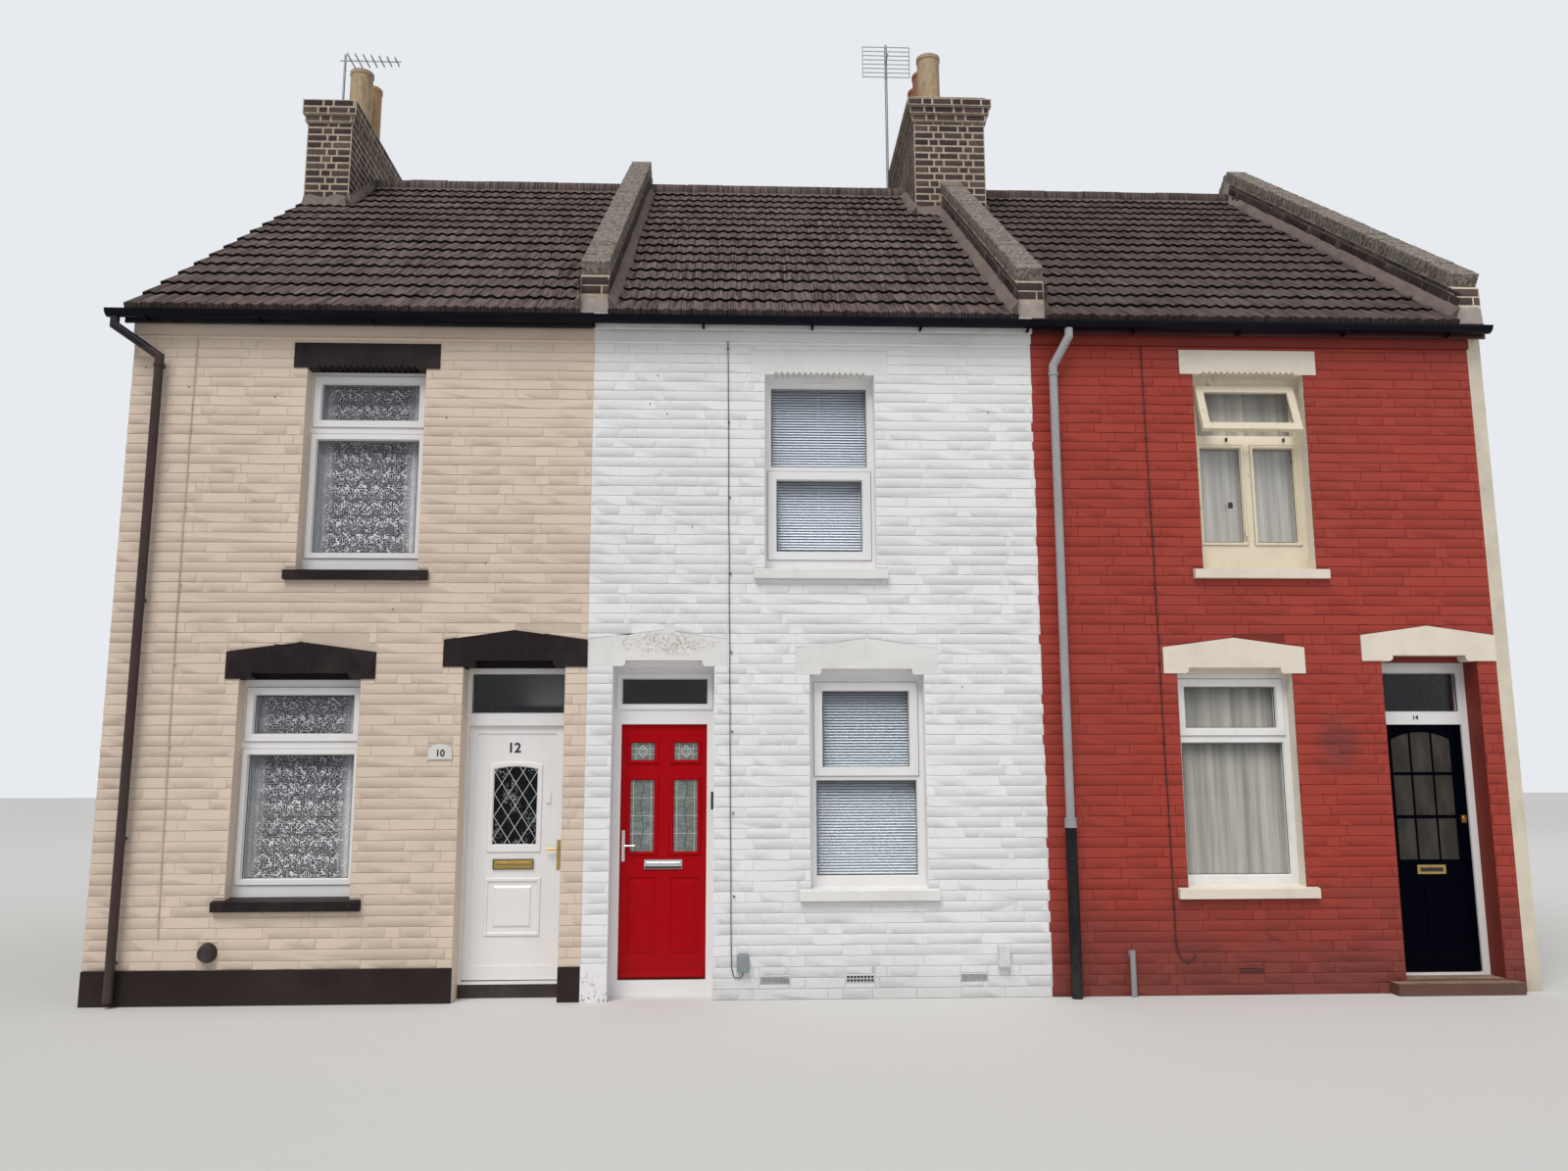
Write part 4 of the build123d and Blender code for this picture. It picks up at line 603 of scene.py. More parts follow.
finishes = {
    "cream_bricks": painted_wall("cream_brick_paint", CREAM, (0.34, 0.27, 0.20), 0.12, 0.05, 0.3,
                                 line=0.62),
    "cream_joints": painted_wall("cream_joint_paint", CREAM, (0.22, 0.17, 0.12), 0.25, 0.06, 0.3,
                                 joint=0.86, reveal=CREAM),
    "white_bricks": painted_wall("white_brick_paint", WHITE, (0.52, 0.51, 0.50), 0.12, 0.04, 0.5,
                                 line=0.6),
    "white_joints": painted_wall("white_joint_paint", WHITE, (0.3, 0.28, 0.25), 0.25, 0.06, 0.5,
                                 joint=0.9, reveal=WHITE),
    "red_bricks": painted_wall("red_brick_paint", RED, (0.20, 0.06, 0.05), 0.2, 0.07, 0.3, 0.5,
                               line=0.36, low=(0.165, 0.045, 0.037)),
    "red_joints": painted_wall("red_joint_paint", RED, (0.08, 0.03, 0.028), 0.3, 0.08, 0.3, 0.55,
                               joint=0.6, reveal=IVORY),
    "stock_bricks": stock_brick("yellow_stock_brick",
                                [(0.36, 0.25, 0.14), (0.25, 0.17, 0.10), (0.42, 0.31, 0.19),
                                 (0.16, 0.11, 0.08)], (0.05, 0.04, 0.035, 0.35)),
    "stock_joints": stock_brick("lime_mortar", [], (0.1, 0.08, 0.07, 0.4), LIME),
    "party_end": stock_brick("party_end_mortar", [], (0.2, 0.17, 0.14, 0.3), LIME,
                             (0.70, 0.62, 0.50)),
    "sooty_bricks": stock_brick("sooty_stack_brick",
                                [(0.10, 0.072, 0.066), (0.06, 0.043, 0.042),
                                 (0.15, 0.105, 0.085), (0.08, 0.056, 0.054)],
                                (0.025, 0.02, 0.02, 0.35)),
    "sooty_joints": stock_brick("stack_mortar", [], (0.12, 0.09, 0.075, 0.22), (0.60, 0.50, 0.39)),
    "tiles": roof_tile_finish(),
    "coping": coping_finish(),
    "stone": painted_stone("painted_stone", PLUM, (0.79, 0.775, 0.755), (0.76, 0.685, 0.58),
                           (0.42, 0.36, 0.29), 0.3, shine=0.15),
    "rear_stone": painted_stone("rear_stone", REAR_STONE, REAR_STONE, REAR_STONE,
                                (0.3, 0.26, 0.22), 0.4, 0.8),
    "plinth": plain_paint("plinth_paint", (0.021, 0.0125, 0.013), (0.06, 0.05, 0.045), 0.25,
                          0.1, 0.6, 2.5, 0.006, 22.0, splash=0.25, shine=0.12),
    "fillets": plain_paint("fillet_mortar", (0.215, 0.17, 0.15), (0.10, 0.08, 0.07), 0.5, 0.2,
                           0.92, 7.0, 0.007, 26.0, shine=0.2),
    "mortar": plain_paint("flaunching_mortar", (0.40, 0.34, 0.31), (0.20, 0.165, 0.15), 0.45,
                          0.2, 0.92, 7.0, 0.007, 26.0, shine=0.2),
    "plastic": plain_paint("white_frame_plastic", PLASTIC, (0.42, 0.39, 0.34), 0.08, 0.08, 0.22,
                           4.0, 0.0003),
    "red_frames": frames_by_height("red_house_frames", (0.82, 0.81, 0.80), (0.74, 0.65, 0.495),
                                   3.0),
    "red_frame_door": plain_paint("white_gloss_timber", (0.76, 0.76, 0.75), (0.35, 0.31, 0.26),
                                  0.12, 0.12, 0.3, 5.0, 0.001),
    "red_skin": grained_paint("red_door_paint", (0.41, 0.001, 0.005), 0.28, 0.0007, 0.08,
                              (0.1, 0.05, 0.04), 0.05),
    "navy": grained_paint("navy_door_paint", (0.0002, 0.0006, 0.0036), 0.25, 0.0006, 0.03,
                          (0.01, 0.01, 0.015), 0.04),
    "glass": clear_glass("clear_glass", (0.955, 0.97, 0.985), 0.00012, 1.6),
    "red_leaf_glass": obscured("frosted_green_glass", (0.15, 0.18, 0.165), (0.27, 0.31, 0.29), 0.3,
                               45.0, 0.0012, 0.3, (0.4, 1, 1.6)),
    "navy_leaf_glass": obscured("amber_glass", (0.030, 0.025, 0.020), (0.062, 0.053, 0.042), 0.15,
                                5.0, 0.0008, 0.25, (1.6, 1, 0.5)),
    "cream_leaf_glass": obscured("dark_bubble_glass", (0.002, 0.002, 0.003),
                                 (0.012, 0.013, 0.015), 0.08, 55.0, 0.002, 0.15,
                                 painted_glints=0.7),
    "brass": plain_paint("worn_brass", (0.62, 0.43, 0.15), (0.16, 0.10, 0.04), 0.3, 0.1, 0.28,
                         24.0, 0.0004, 60.0, 1.0),
    "chrome": plain_paint("bright_chrome", (0.72, 0.72, 0.73), (0.3, 0.3, 0.3), 0.15, 0.05,
                          0.14, 24.0, 0.0002, 60.0, 1.0),
    "steel": plain_paint("galvanised_steel", (0.42, 0.43, 0.44), (0.16, 0.10, 0.07), 0.35, 0.1,
                         0.42, 18.0, 0.0006, 90.0, 0.9),
    "lead": plain_paint("lead_came", (0.16, 0.165, 0.17), (0.07, 0.07, 0.07), 0.3, 0.1, 0.45,
                        30.0, 0.0006, 120.0, 0.8),
    "pale_lead": plain_paint("pale_lead_came", (0.66, 0.66, 0.65), (0.3, 0.3, 0.3), 0.2, 0.1, 0.5,
                             30.0, 0.0006, 120.0),
    "gasket": plain_paint("black_rubber", (0.02, 0.02, 0.021), (0.12, 0.11, 0.1), 0.15, 0.1,
                          0.55, 12.0),
    "gutter": plain_paint("black_gutter_plastic", (0.0018, 0.0026, 0.008), (0.05, 0.05, 0.05),
                          0.08, 0.06, 0.4, 3.0, 0.0008, shine=0.1),
    "pipes": pipes_finish(),
    "fascia": fascia_finish(),
    "fittings": fittings_finish(),
    "clay": clay_finish(),
    "quarry": quarry_finish(),
    "boards": board_floor(),
    "steps": steps_finish(),
    "lace": lace_finish((0.70, 0.685, 0.69)),
    "pleats": pleated_finish((0.44, 0.405, 0.35)),
}


def stand(name, data):
    """Puts a mesh, a curve, a light or a camera in the scene."""
    made = bpy.data.objects.new(name, data)
    bpy.context.scene.collection.objects.link(made)
    return made


# Pieces: meshes built with bmesh, at the origin, riding on their body
def piece(name, bm, finish, body="row", *, stands_for=(), smooth=None):
    """Turns a bmesh into a piece of the row; smooth is the angle under which it is smoothed."""
    mesh = bpy.data.meshes.new(name)
    bm.to_mesh(mesh)
    bm.free()
    made = stand(name, mesh)
    for one in (finish if isinstance(finish, list) else [finish]):
        mesh.materials.append(finishes[one])
    if smooth is not None:
        mesh.shade_smooth()
        mesh.set_sharp_from_angle(angle=math.radians(smooth))
    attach(made, body)
    if stands_for:
        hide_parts(*stands_for)
    return made


def cuboid(bm, low, high, turn=None):
    """A box between two corners, turned about its middle."""
    low, high = Vector(low), Vector(high)
    middle = (low + high) / 2
    size = high - low
    made = bmesh.ops.create_cube(bm, size=1.0)["verts"]
    bmesh.ops.scale(bm, vec=size, verts=made)
    bmesh.ops.translate(bm, vec=middle, verts=made)
    if turn is not None:
        bmesh.ops.rotate(bm, cent=middle, matrix=turn, verts=made)
    return made


def rod(bm, radius, length, segments, tip=None):
    """An upright round bar with its middle at the origin, tapered where a tip is given."""
    return bmesh.ops.create_cone(bm, cap_ends=True, segments=segments, radius1=radius,
                                 radius2=tip or radius, depth=length)["verts"]


def turn_by(bm, verts, angle, axis):
    """Turns a part of a mesh about an axis through the origin."""
    bmesh.ops.rotate(bm, cent=(0, 0, 0), matrix=Matrix.Rotation(angle, 3, axis), verts=verts)


def faces_of(verts):
    return list(dict.fromkeys(face for vert in verts for face in vert.link_faces))


def edges_of(verts):
    return list(dict.fromkeys(edge for vert in verts for edge in vert.link_edges))


def border_of(bm):
    return [edge for edge in bm.edges if len(edge.link_faces) == 1]


def only(geometry, kind):
    """The parts of one kind among what an operator returned."""
    return [part for part in geometry if isinstance(part, kind)]


def close_back(bm, step):
    """Closes an open skin: its border is drawn out by a step for each point, then filled."""
    grown = bmesh.ops.extrude_edge_only(bm, edges=border_of(bm))["geom"]
    for vert in only(grown, bmesh.types.BMVert):
        vert.co += step(vert.co)
    bmesh.ops.edgeloop_fill(bm, edges=border_of(bm))
    bmesh.ops.recalc_face_normals(bm, faces=list(bm.faces))


def round_edges(bm, width, edges=None):
    bmesh.ops.bevel(bm, geom=edges or list(bm.edges), offset=width, segments=1,
                    profile=0.5, affect="EDGES", material=-1, clamp_overlap=True)


def tube(bm, points, radius, segments):
    """A round bar through points: a ring is extruded from each point to the next."""
    points = [Vector(p) for p in points]
    heading = (points[1] - points[0]).normalized()
    ring = bmesh.ops.create_circle(bm, cap_ends=True, radius=radius, segments=segments)["verts"]
    upright = Vector((0, 0, 1))
    bmesh.ops.rotate(bm, cent=(0, 0, 0), verts=ring,
                     matrix=upright.rotation_difference(heading).to_matrix())
    bmesh.ops.translate(bm, vec=points[0], verts=ring)
    face = faces_of(ring)
    everything = list(ring)
    for index in range(1, len(points)):
        grown = bmesh.ops.extrude_face_region(bm, geom=face)["geom"]
        verts = only(grown, bmesh.types.BMVert)
        if index > 1:
            bmesh.ops.delete(bm, geom=face, context="FACES_ONLY")
        face = only(grown, bmesh.types.BMFace)
        bmesh.ops.translate(bm, vec=points[index] - points[index - 1], verts=verts)
        if index + 1 < len(points):
            onward = (points[index + 1] - points[index - 1]).normalized()
            bmesh.ops.rotate(bm, cent=points[index], verts=verts,
                             matrix=heading.rotation_difference(onward).to_matrix())
            heading = onward
        everything += verts
    bmesh.ops.recalc_face_normals(bm, faces=faces_of(everything))


# Brickwork: bricks laid in Flemish bond on a face, cut round what sits in it
def rest_of(rects, hole):
    """What is left of rectangles (left, low, right, high) round a rectangular hole."""
    kept = []
    for left, low, right, high in rects:
        if hole[0] >= right or hole[2] <= left or hole[1] >= high or hole[3] <= low:
            kept.append((left, low, right, high))
            continue
        inner = (max(left, hole[0]), min(right, hole[2]))
        kept += [(left, low, inner[0], high), (inner[1], low, right, high),
                 (inner[0], low, inner[1], hole[1]), (inner[0], hole[3], inner[1], high)]
    return [r for r in kept if r[2] - r[0] > 0.022 and r[3] - r[1] > 0.018]


def lay_bricks(bm, area, holes, course, seed, first=0.0, hidden=0.0, ragged=(0, 0)):
    """Faces of a wall's bricks in the plane XY, from left to right and from low to high.

    hidden is the share of upright joints that paint fills: the bricks there are one long face,
    with a vertex about every 8 cm for the unevenness of its edges. ragged gives a seed to an
    end where the paint of two houses meets in an uneven line.
    """
    tone = bm.faces.layers.float.get("brick") or bm.faces.layers.float.new("brick")
    chance = random.Random(seed)
    left_end, low, right_end, high = area
    uneven = [random.Random(end) for end in ragged]
    row = 0
    z = low - first
    while z < high - 0.01:
        left, right = (end + (one.uniform(-0.016, 0.010) if seeded else 0.0) for end, one, seeded
                       in zip((left_end, right_end), uneven, ragged))
        x = left_end - (0.0 if row % 2 else (HEADER + STRETCHER) / 2)
        header = row % 2 == 0
        while x < right:
            step = HEADER if header else STRETCHER
            header = not header
            while chance.random() < hidden and x + step < right:
                step += HEADER if header else STRETCHER
                header = not header
            rects = rest_of([(max(x, left), max(z, low), min(x + step, right),
                              min(z + course, high))], (0, 0, 0, 0))
            for hole in holes:
                rects = rest_of(rects, hole)
            value = 0.12 + 0.88 * chance.random()
            for x0, y0, x1, y1 in rects:
                count = max(1, round((x1 - x0) / 0.08)) if hidden else 1
                along = [x0 + (x1 - x0) * n / count for n in range(count + 1)]
                face = bm.faces.new([bm.verts.new((u, y0, 0)) for u in along] +
                                    [bm.verts.new((u, y1, 0)) for u in reversed(along)])
                face[tone] = value
            x += step
        z += course
        row += 1


def trim(bm, faces, point, outward, clear=True):
    """Cuts the faces at a line and takes away what lies beyond it."""
    verts = [v for f in faces for v in f.verts]
    bmesh.ops.bisect_plane(bm, geom=faces + edges_of(verts) + list(dict.fromkeys(verts)),
                           dist=1e-5, plane_co=point, plane_no=outward, clear_outer=clear)


def inset(bm, faces, thickness, depth=0.0):
    """Insets faces one by one. An even offset would throw a sharp corner far out."""
    ring = []
    blunt = {face: min(loop.calc_angle() for loop in face.loops) > 0.5 for face in faces}
    for even in (True, False):
        ring += bmesh.ops.inset_individual(bm, faces=[f for f in faces if blunt[f] == even],
                                           thickness=thickness, depth=depth,
                                           use_even_offset=even)["faces"]
    return ring


def raise_bricks(bm, joint, reach, soft, seed, tilt, ledge=0.0):
    """Opens the joints between brick faces and raises each brick with softened edges.

    ledge is how far the lower edge of a painted course stands out more than its upper edge; the
    undersides are then marked with the tone 0, which the wall paint turns into painted shade.
    """
    chance = random.Random(seed)
    bm.normal_update()
    bricks = list(bm.faces)
    bmesh.ops.delete(bm, geom=inset(bm, bricks, joint / 2), context="FACES")
    bricks = list(bm.faces)
    backs = bmesh.ops.duplicate(bm, geom=bricks)["geom"]
    bmesh.ops.reverse_faces(bm, faces=only(backs, bmesh.types.BMFace))
    inset(bm, bricks, soft * 0.3, reach * 0.65)
    inset(bm, bricks, soft * 0.7, reach * 0.35)
    for face in bricks:
        calm = 0.2 if ledge else 1.0
        out = chance.uniform(-tilt, tilt) * calm
        lean = chance.uniform(-tilt, tilt) * calm - ledge
        middle = (min(v.co.y for v in face.verts) + max(v.co.y for v in face.verts)) / 2
        ends = (min(v.co.x for v in face.verts), max(v.co.x for v in face.verts))
        for vert in face.verts:
            upper = vert.co.y > middle
            vert.co.z += out + lean * (1 if upper else -1)
            if ledge:
                vert.co.z += chance.uniform(-0.6, 0.6) * tilt
                vert.co.y += chance.uniform(-1.9, 1.9) * tilt - (0 if upper else 0.45 * soft)
                vert.co.x += 0.6 * soft * ((vert.co.x == ends[1]) - (vert.co.x == ends[0]))
            else:
                vert.co.x += chance.uniform(-tilt, tilt)
                vert.co.y += chance.uniform(-tilt, tilt)
    # Tone 0 marks the undersides of the courses, for the painted shade under them.
    if ledge:
        tone = bm.faces.layers.float["brick"]
        bm.normal_update()
        for face in bm.faces:
            if face.normal.y < -0.3:
                face[tone] = 0.0
    bmesh.ops.remove_doubles(bm, verts=list(bm.verts), dist=1e-6)


def turned(origin, along, outward, up=(0, 0, 1)):
    """The matrix that carries the plane XY to a wall: X along it, Y up, Z out of it."""
    made = Matrix((along, up, outward)).transposed().to_4x4()
    made.translation = origin
    return made


def merge_into(target, source):
    """Adds one bmesh to another and frees it."""
    mesh = bpy.data.meshes.new("joined")
    source.to_mesh(mesh)
    target.from_mesh(mesh)
    bpy.data.meshes.remove(mesh)
    source.free()


WALL_ON = 0.0004


def brick_face(matrix, area, holes=(), *, seed, course=COURSE, joint=0.010, reach=0.005,
               soft=0.006, cuts=(), wedges=(), tilt=0.0012, first=0.0, hidden=0.0, ledge=0.0,
               ragged=(0, 0)):
    """One face of brickwork. cuts are lines over the whole face, wedges gabled stone tops."""
    bm = bmesh.new()
    lay_bricks(bm, area, holes, course, seed, first, hidden, ragged)
    for point, outward in cuts:
        trim(bm, list(bm.faces), point, outward)
    for middle, shoulder, half_left, half_right, rise in wedges:
        for x in (middle, middle - half_left, middle + half_right):
            near = [f for f in bm.faces
                    if min(v.co.x for v in f.verts) < x < max(v.co.x for v in f.verts)
                    and shoulder - 0.01 < max(v.co.y for v in f.verts)
                    and min(v.co.y for v in f.verts) < shoulder + rise]
            trim(bm, near, (x, 0, 0), (1, 0, 0), False)
        for side, half in ((-1, half_left), (1, half_right)):
            faces = [f for f in bm.faces
                     if 0 < (f.calc_center_median().x - middle) * side < half
                     and shoulder - 0.01 < f.calc_center_median().y < shoulder + rise + 0.04
                     and min(v.co.y for v in f.verts) < shoulder + rise]
            if faces:
                trim(bm, faces, (middle, shoulder + rise, 0), (-side * rise, -half, 0))
    raise_bricks(bm, joint, reach, soft, seed + 50, tilt, ledge)
    bmesh.ops.translate(bm, vec=(0, 0, -WALL_ON), verts=list(bm.verts))
    bmesh.ops.transform(bm, matrix=matrix, verts=list(bm.verts))
    return bm


# Stone dressings in the front walls, as holes for the bricks
SIDE_HEIGHT = 0.208
APEX_RISE = 0.076
FLAT_HEIGHT = 0.205
WINDOW_BEARING = 0.108
SILL_HEIGHT = 0.092
SILL_EAR = 0.085
DOOR_BEARING = 0.158
# How far each door's lintel runs to the left and right of its opening
DOOR_LINTELS = {"cream_door": (DOOR_BEARING, 0.17), "white_door": (0.20, 0.105),
                "red_door": (DOOR_BEARING, 0.16)}


def front_bricks(house, x0, x1, seed, extra, ragged=(0, 0)):
    """The raised bricks of one house front, round its openings, lintels, sills and boxes."""
    holes = list(extra)
    wedges = []
    for name, (left, right, sill, head) in WINDOWS.items():
        if not name.startswith(house):
            continue
        holes.append((left, sill - SILL_HEIGHT, right, head))
        holes.append((left - SILL_EAR, sill - SILL_HEIGHT, right + SILL_EAR, sill))
        half = (right - left) / 2 + WINDOW_BEARING
        flat = name.endswith("upper")
        holes.append((left - WINDOW_BEARING, head, right + WINDOW_BEARING,
                      head + (FLAT_HEIGHT if flat else SIDE_HEIGHT)))
        if not flat:
            wedges.append(((left + right) / 2, head + SIDE_HEIGHT, half, half, APEX_RISE))
    name = house + "_door"
    left, right, sill, head = DOORS[name]
    before, after = DOOR_LINTELS[name]
    holes.append((left, 0, right, head))
    holes.append((left - before, head, right + after, head + SIDE_HEIGHT))
    half = (right - left) / 2
    wedges.append(((left + right) / 2, head + SIDE_HEIGHT, half + before, half + after,
                   APEX_RISE))
    bm = brick_face(turned((0, FRONT, 0), (1, 0, 0), (0, -1, 0)), (x0, 0.0, x1, BAND_BOTTOM),
                    holes, seed=seed, wedges=wedges, joint=0.003, reach=0.0034, soft=0.0064,
                    hidden=0.58, ledge=0.0008, ragged=ragged)
    piece(house + "_front_bricks", bm, house + "_bricks",
          smooth=50)


# Rectangles (left, low, right, high) on the street face
VENT_COVER = (-4.609, 0.252, -4.466, 0.45)
NUMBER_PLATE = (-2.982, 1.793, -2.799, 1.912)
GREY_BOX = (-0.613, 0.206, -0.524, 0.332)
WHITE_BOX = (1.371, 0.227, 1.456, 0.387)
WHITE_AIR_BRICKS = ((-0.443, 0.112, -0.214, 0.178), (0.205, 0.115, 0.43, 0.181),
                    (1.08, 0.118, 1.292, 0.184))
RED_AIR_BRICK = (3.22, 0.152, 3.425, 0.211)
RED_STEP = (4.398, 0, 5.384, 0.09)
PLINTH_TOP = 0.252
WHITE_BLOCK_TOP = 0.272
front_bricks("cream", GABLE, CREAM_WHITE, 11,
             [(GABLE, 0, DOORS["cream_door"][0], PLINTH_TOP),
              (DOORS["cream_door"][1], 0, CREAM_WHITE, PLINTH_TOP), VENT_COVER, NUMBER_PLATE])
front_bricks("white", CREAM_WHITE, WHITE_RED, 12,
             [(CREAM_WHITE, 0, DOORS["white_door"][0], WHITE_BLOCK_TOP), GREY_BOX, WHITE_BOX,
              *WHITE_AIR_BRICKS], (0, 7))
front_bricks("red", WHITE_RED, ROW_END, 13, [RED_STEP, RED_AIR_BRICK], (7, 0))


# Gable, rear and the bare party wall in stock brick
def stock_face(name, matrix, area, seed, holes=(), cuts=()):
    """The raised bricks of an unpainted wall."""
    bm = brick_face(matrix, area, holes, seed=seed, reach=0.006, soft=0.005, cuts=cuts)
    piece(name, bm, "stock_bricks", smooth=50)


slope_up = RIDGE - NOSE_HEIGHT


def gabled_face(name, matrix, top, cut_top, seed):
    """A face whose middle lies at X 0, cut along the two roof slopes."""
    stock_face(name, matrix, (-REAR, 0, REAR, top), seed,
               cuts=[((0, cut_top, 0), (side * slope_up, NOSE, 0)) for side in (-1, 1)])


RAFTER_DROP = 0.188
PARTY_TOP = RIDGE + 0.25
gabled_face("gable_bricks", turned((GABLE, 0, 0), (0, -1, 0), (-1, 0, 0)), RIDGE - 0.2,
            RIDGE - RAFTER_DROP, 21)
gabled_face("party_face_bricks", turned((PARTY_FACE, 0, 0), (0, 1, 0), (1, 0, 0)), PARTY_TOP,
            PARTY_TOP, 22)


def packed(node):
    """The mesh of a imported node, joined where its faces meet."""
    bm = bmesh.new()
    bm.from_mesh(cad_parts[node].data)
    bmesh.ops.remove_doubles(bm, verts=list(bm.verts), dist=1e-6)
    return bm


def solids_of(node):
    """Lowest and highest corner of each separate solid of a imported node."""
    bm = packed(node)
    left = set(bm.verts)
    found = []
    while left:
        queue = [left.pop()]
        island = []
        while queue:
            vert = queue.pop()
            island.append(vert.co.copy())
            for edge in vert.link_edges:
                other = edge.other_vert(vert)
                if other in left:
                    left.discard(other)
                    queue.append(other)
        found.append((Vector([min(p[i] for p in island) for i in range(3)]),
                      Vector([max(p[i] for p in island) for i in range(3)])))
    bm.free()
    return sorted(found, key=lambda box: (round(box[0].x, 3), round(box[0].z, 3)))


rear_holes = []
for node in ("rear_lintels", "window_sills", "rear_window_frames", "rear_doors", "door_steps"):
    for low, high in solids_of(node):
        if high.y > 3.7:
            rear_holes.append((-high.x, low.z, -low.x, high.z))
for low, high in solids_of("rear_lintels"):
    over_door = low.z < 2.3 and high.x - low.x < 1.02
    rear_holes.append((-high.x + WINDOW_BEARING, 0 if over_door else low.z - 0.02,
                       -low.x - WINDOW_BEARING, low.z + 0.01))
stock_face("rear_bricks", turned((0, REAR, 0), (-1, 0, 0), (0, 1, 0)),
           (-ROW_END, 0, -GABLE, BAND_BOTTOM), 23, rear_holes)


# Chimney stacks
def stack_bricks(name, x0, x1, foot, courses, seed):
    """Brick faces round a shaft and its oversailing courses: (low, high, how far out)."""
    whole = bmesh.new()
    for number, (low, high, out) in enumerate(courses):
        left, right, half = x0 - out, x1 + out, STACK_HALF + out
        for turn, (origin, along, outward, width) in enumerate((
                ((left, -half, 0), (1, 0, 0), (0, -1, 0), right - left),
                ((right, -half, 0), (0, 1, 0), (1, 0, 0), 2 * half),
                ((right, half, 0), (-1, 0, 0), (0, 1, 0), right - left),
                ((left, half, 0), (0, -1, 0), (-1, 0, 0), 2 * half))):
            merge_into(whole, brick_face(
                turned(origin, along, outward), (0, max(low, foot[turn]), width, high),
                course=0.084, seed=seed + 7 * number + turn, joint=0.021, reach=0.002,
                soft=0.002, tilt=0.0008, first=max(low, foot[turn]) - low))
    piece(name, whole, "sooty_bricks", smooth=45)


roof_at_face = RIDGE - STACK_HALF * slope_up / NOSE
stack_bricks("gable_stack_bricks", *GABLE_STACK, (roof_at_face + 0.03, *[roof_at_face] * 3),
             [(roof_at_face - 0.02, 8.88, 0.0), (8.88, 8.964, 0.025), (8.964, 9.132, 0.05)], 300)
stack_bricks("party_stack_bricks", *PARTY_STACK, [roof_at_face] * 4,
             [(roof_at_face - 0.02, 9.03, 0.0), (9.03, 9.114, 0.025), (9.114, 9.198, 0.05),
              (9.198, 9.282, 0.075), (9.282, 9.327, 0.025)], 400)

# Roof tiles: courses of rolled concrete tiles, each lapping the one below
ROLL = 0.104
GAUGE = SLOPE_LENGTH / 15.5
# Height of the tile across one roll, as shares of the roll's width and height
ROLL_SHAPE = ((0.0, 0.0), (0.16, 0.03), (0.3, 0.4), (0.42, 0.84), (0.54, 1.0), (0.68, 0.88),
              (0.82, 0.46), (0.94, 0.08))
ROLL_HEIGHT = 0.013
PAN_DROP = 0.03
# Each course as rows of (where along the gauge, lift off the pans): lip, top edge and tail
COURSE_ROWS = ((0.004, 0.007), (-0.004, 0.027), (0.022, 0.030), (1.09, 0.002))


def slope_axes(side):
    """Down a roof slope, and squarely out of it. side is -1 towards the street."""
    return (Vector((0, side * math.cos(PITCH), -math.sin(PITCH))),
            Vector((0, side * math.sin(PITCH), math.cos(PITCH))))


def tile_sheet(x0, x1, side, seed):
    """One bay of tiles as a single open skin, and the direction squarely out of it."""
    chance = random.Random(seed)
    rolls = max(1, round((x1 - x0) / ROLL))
    step = (x1 - x0) / rolls
    across = [(x0 + (r + t) * step, h * ROLL_HEIGHT, r // 2)
              for r in range(rolls) for t, h in ROLL_SHAPE] + [(x1, 0.0, (rolls - 1) // 2)]
    along = []
    for course in range(16):
        for number, (share, lift) in enumerate(COURSE_ROWS):
            s = (course + share) * GAUGE
            if s > SLOPE_LENGTH - 0.02:
                s = SLOPE_LENGTH - 0.02 + 0.002 * number
            along.append((s, lift, course))
        if (course + 1) * GAUGE > SLOPE_LENGTH - 0.02:
            break
    bm = bmesh.new()
    verts = bmesh.ops.create_grid(bm, x_segments=len(across) - 1, y_segments=len(along) - 1,
                                  size=0.5)["verts"]
    bm.verts.ensure_lookup_table()
    jitter = {}
    down, outward = slope_axes(side)
    top = Vector((0, 0, RIDGE))
    width = len(across)
    for index, vert in enumerate(verts):
        x, roll, tile = across[index % width]
        s, lift, course = along[index // width]
        key = (tile, course)
        if key not in jitter:
            jitter[key] = (chance.uniform(-0.003, 0.003), chance.uniform(-0.005, 0.005))
        up, slide = jitter[key]
        wobble = up if lift > 0.01 else 0.0
        point = top + down * (SLOPE_LENGTH - s - (slide if lift > 0.01 else 0)) + \
            outward * (roll + lift + wobble - PAN_DROP)
        vert.co = (x, point.y, point.z)
    tone = bm.faces.layers.float.new("brick")
    row_of = {vert: index // width for index, vert in enumerate(verts)}
    tones = [chance.random() for _ in range(997)]
    for face in bm.faces:
        row = min(row_of[vert] for vert in face.verts)
        tile = int((face.calc_center_median().x - x0) / (2 * step))
        # Lip and tail rows get tone 0, which the tile finish paints near black: painted shade under
        # each lip.
        shaded_lip = row % len(COURSE_ROWS) in (0, 3) and row > 2
        face[tone] = 0.0 if shaded_lip else 0.2 + 0.8 * tones[(tile * 31 + along[row][2] * 57) % 997]
    return bm, outward


def without_stacks(bm):
    """Clears the tiles where a chimney stack stands."""
    for x0, x1 in (GABLE_STACK, PARTY_STACK):
        for point, normal in (((x0, 0, 0), (1, 0, 0)), ((x1, 0, 0), (1, 0, 0)),
                              ((0, -STACK_HALF, 0), (0, 1, 0)),
                              ((0, STACK_HALF, 0), (0, 1, 0))):
            near = [f for f in bm.faces
                    if x0 - 0.1 < f.calc_center_median().x < x1 + 0.1
                    and abs(f.calc_center_median().y) < STACK_HALF + 0.3]
            if near:
                trim(bm, near, point, normal, False)
        gone = [f for f in bm.faces
                if x0 < f.calc_center_median().x < x1
                and abs(f.calc_center_median().y) < STACK_HALF]
        if gone:
            bmesh.ops.delete(bm, geom=gone, context="FACES")


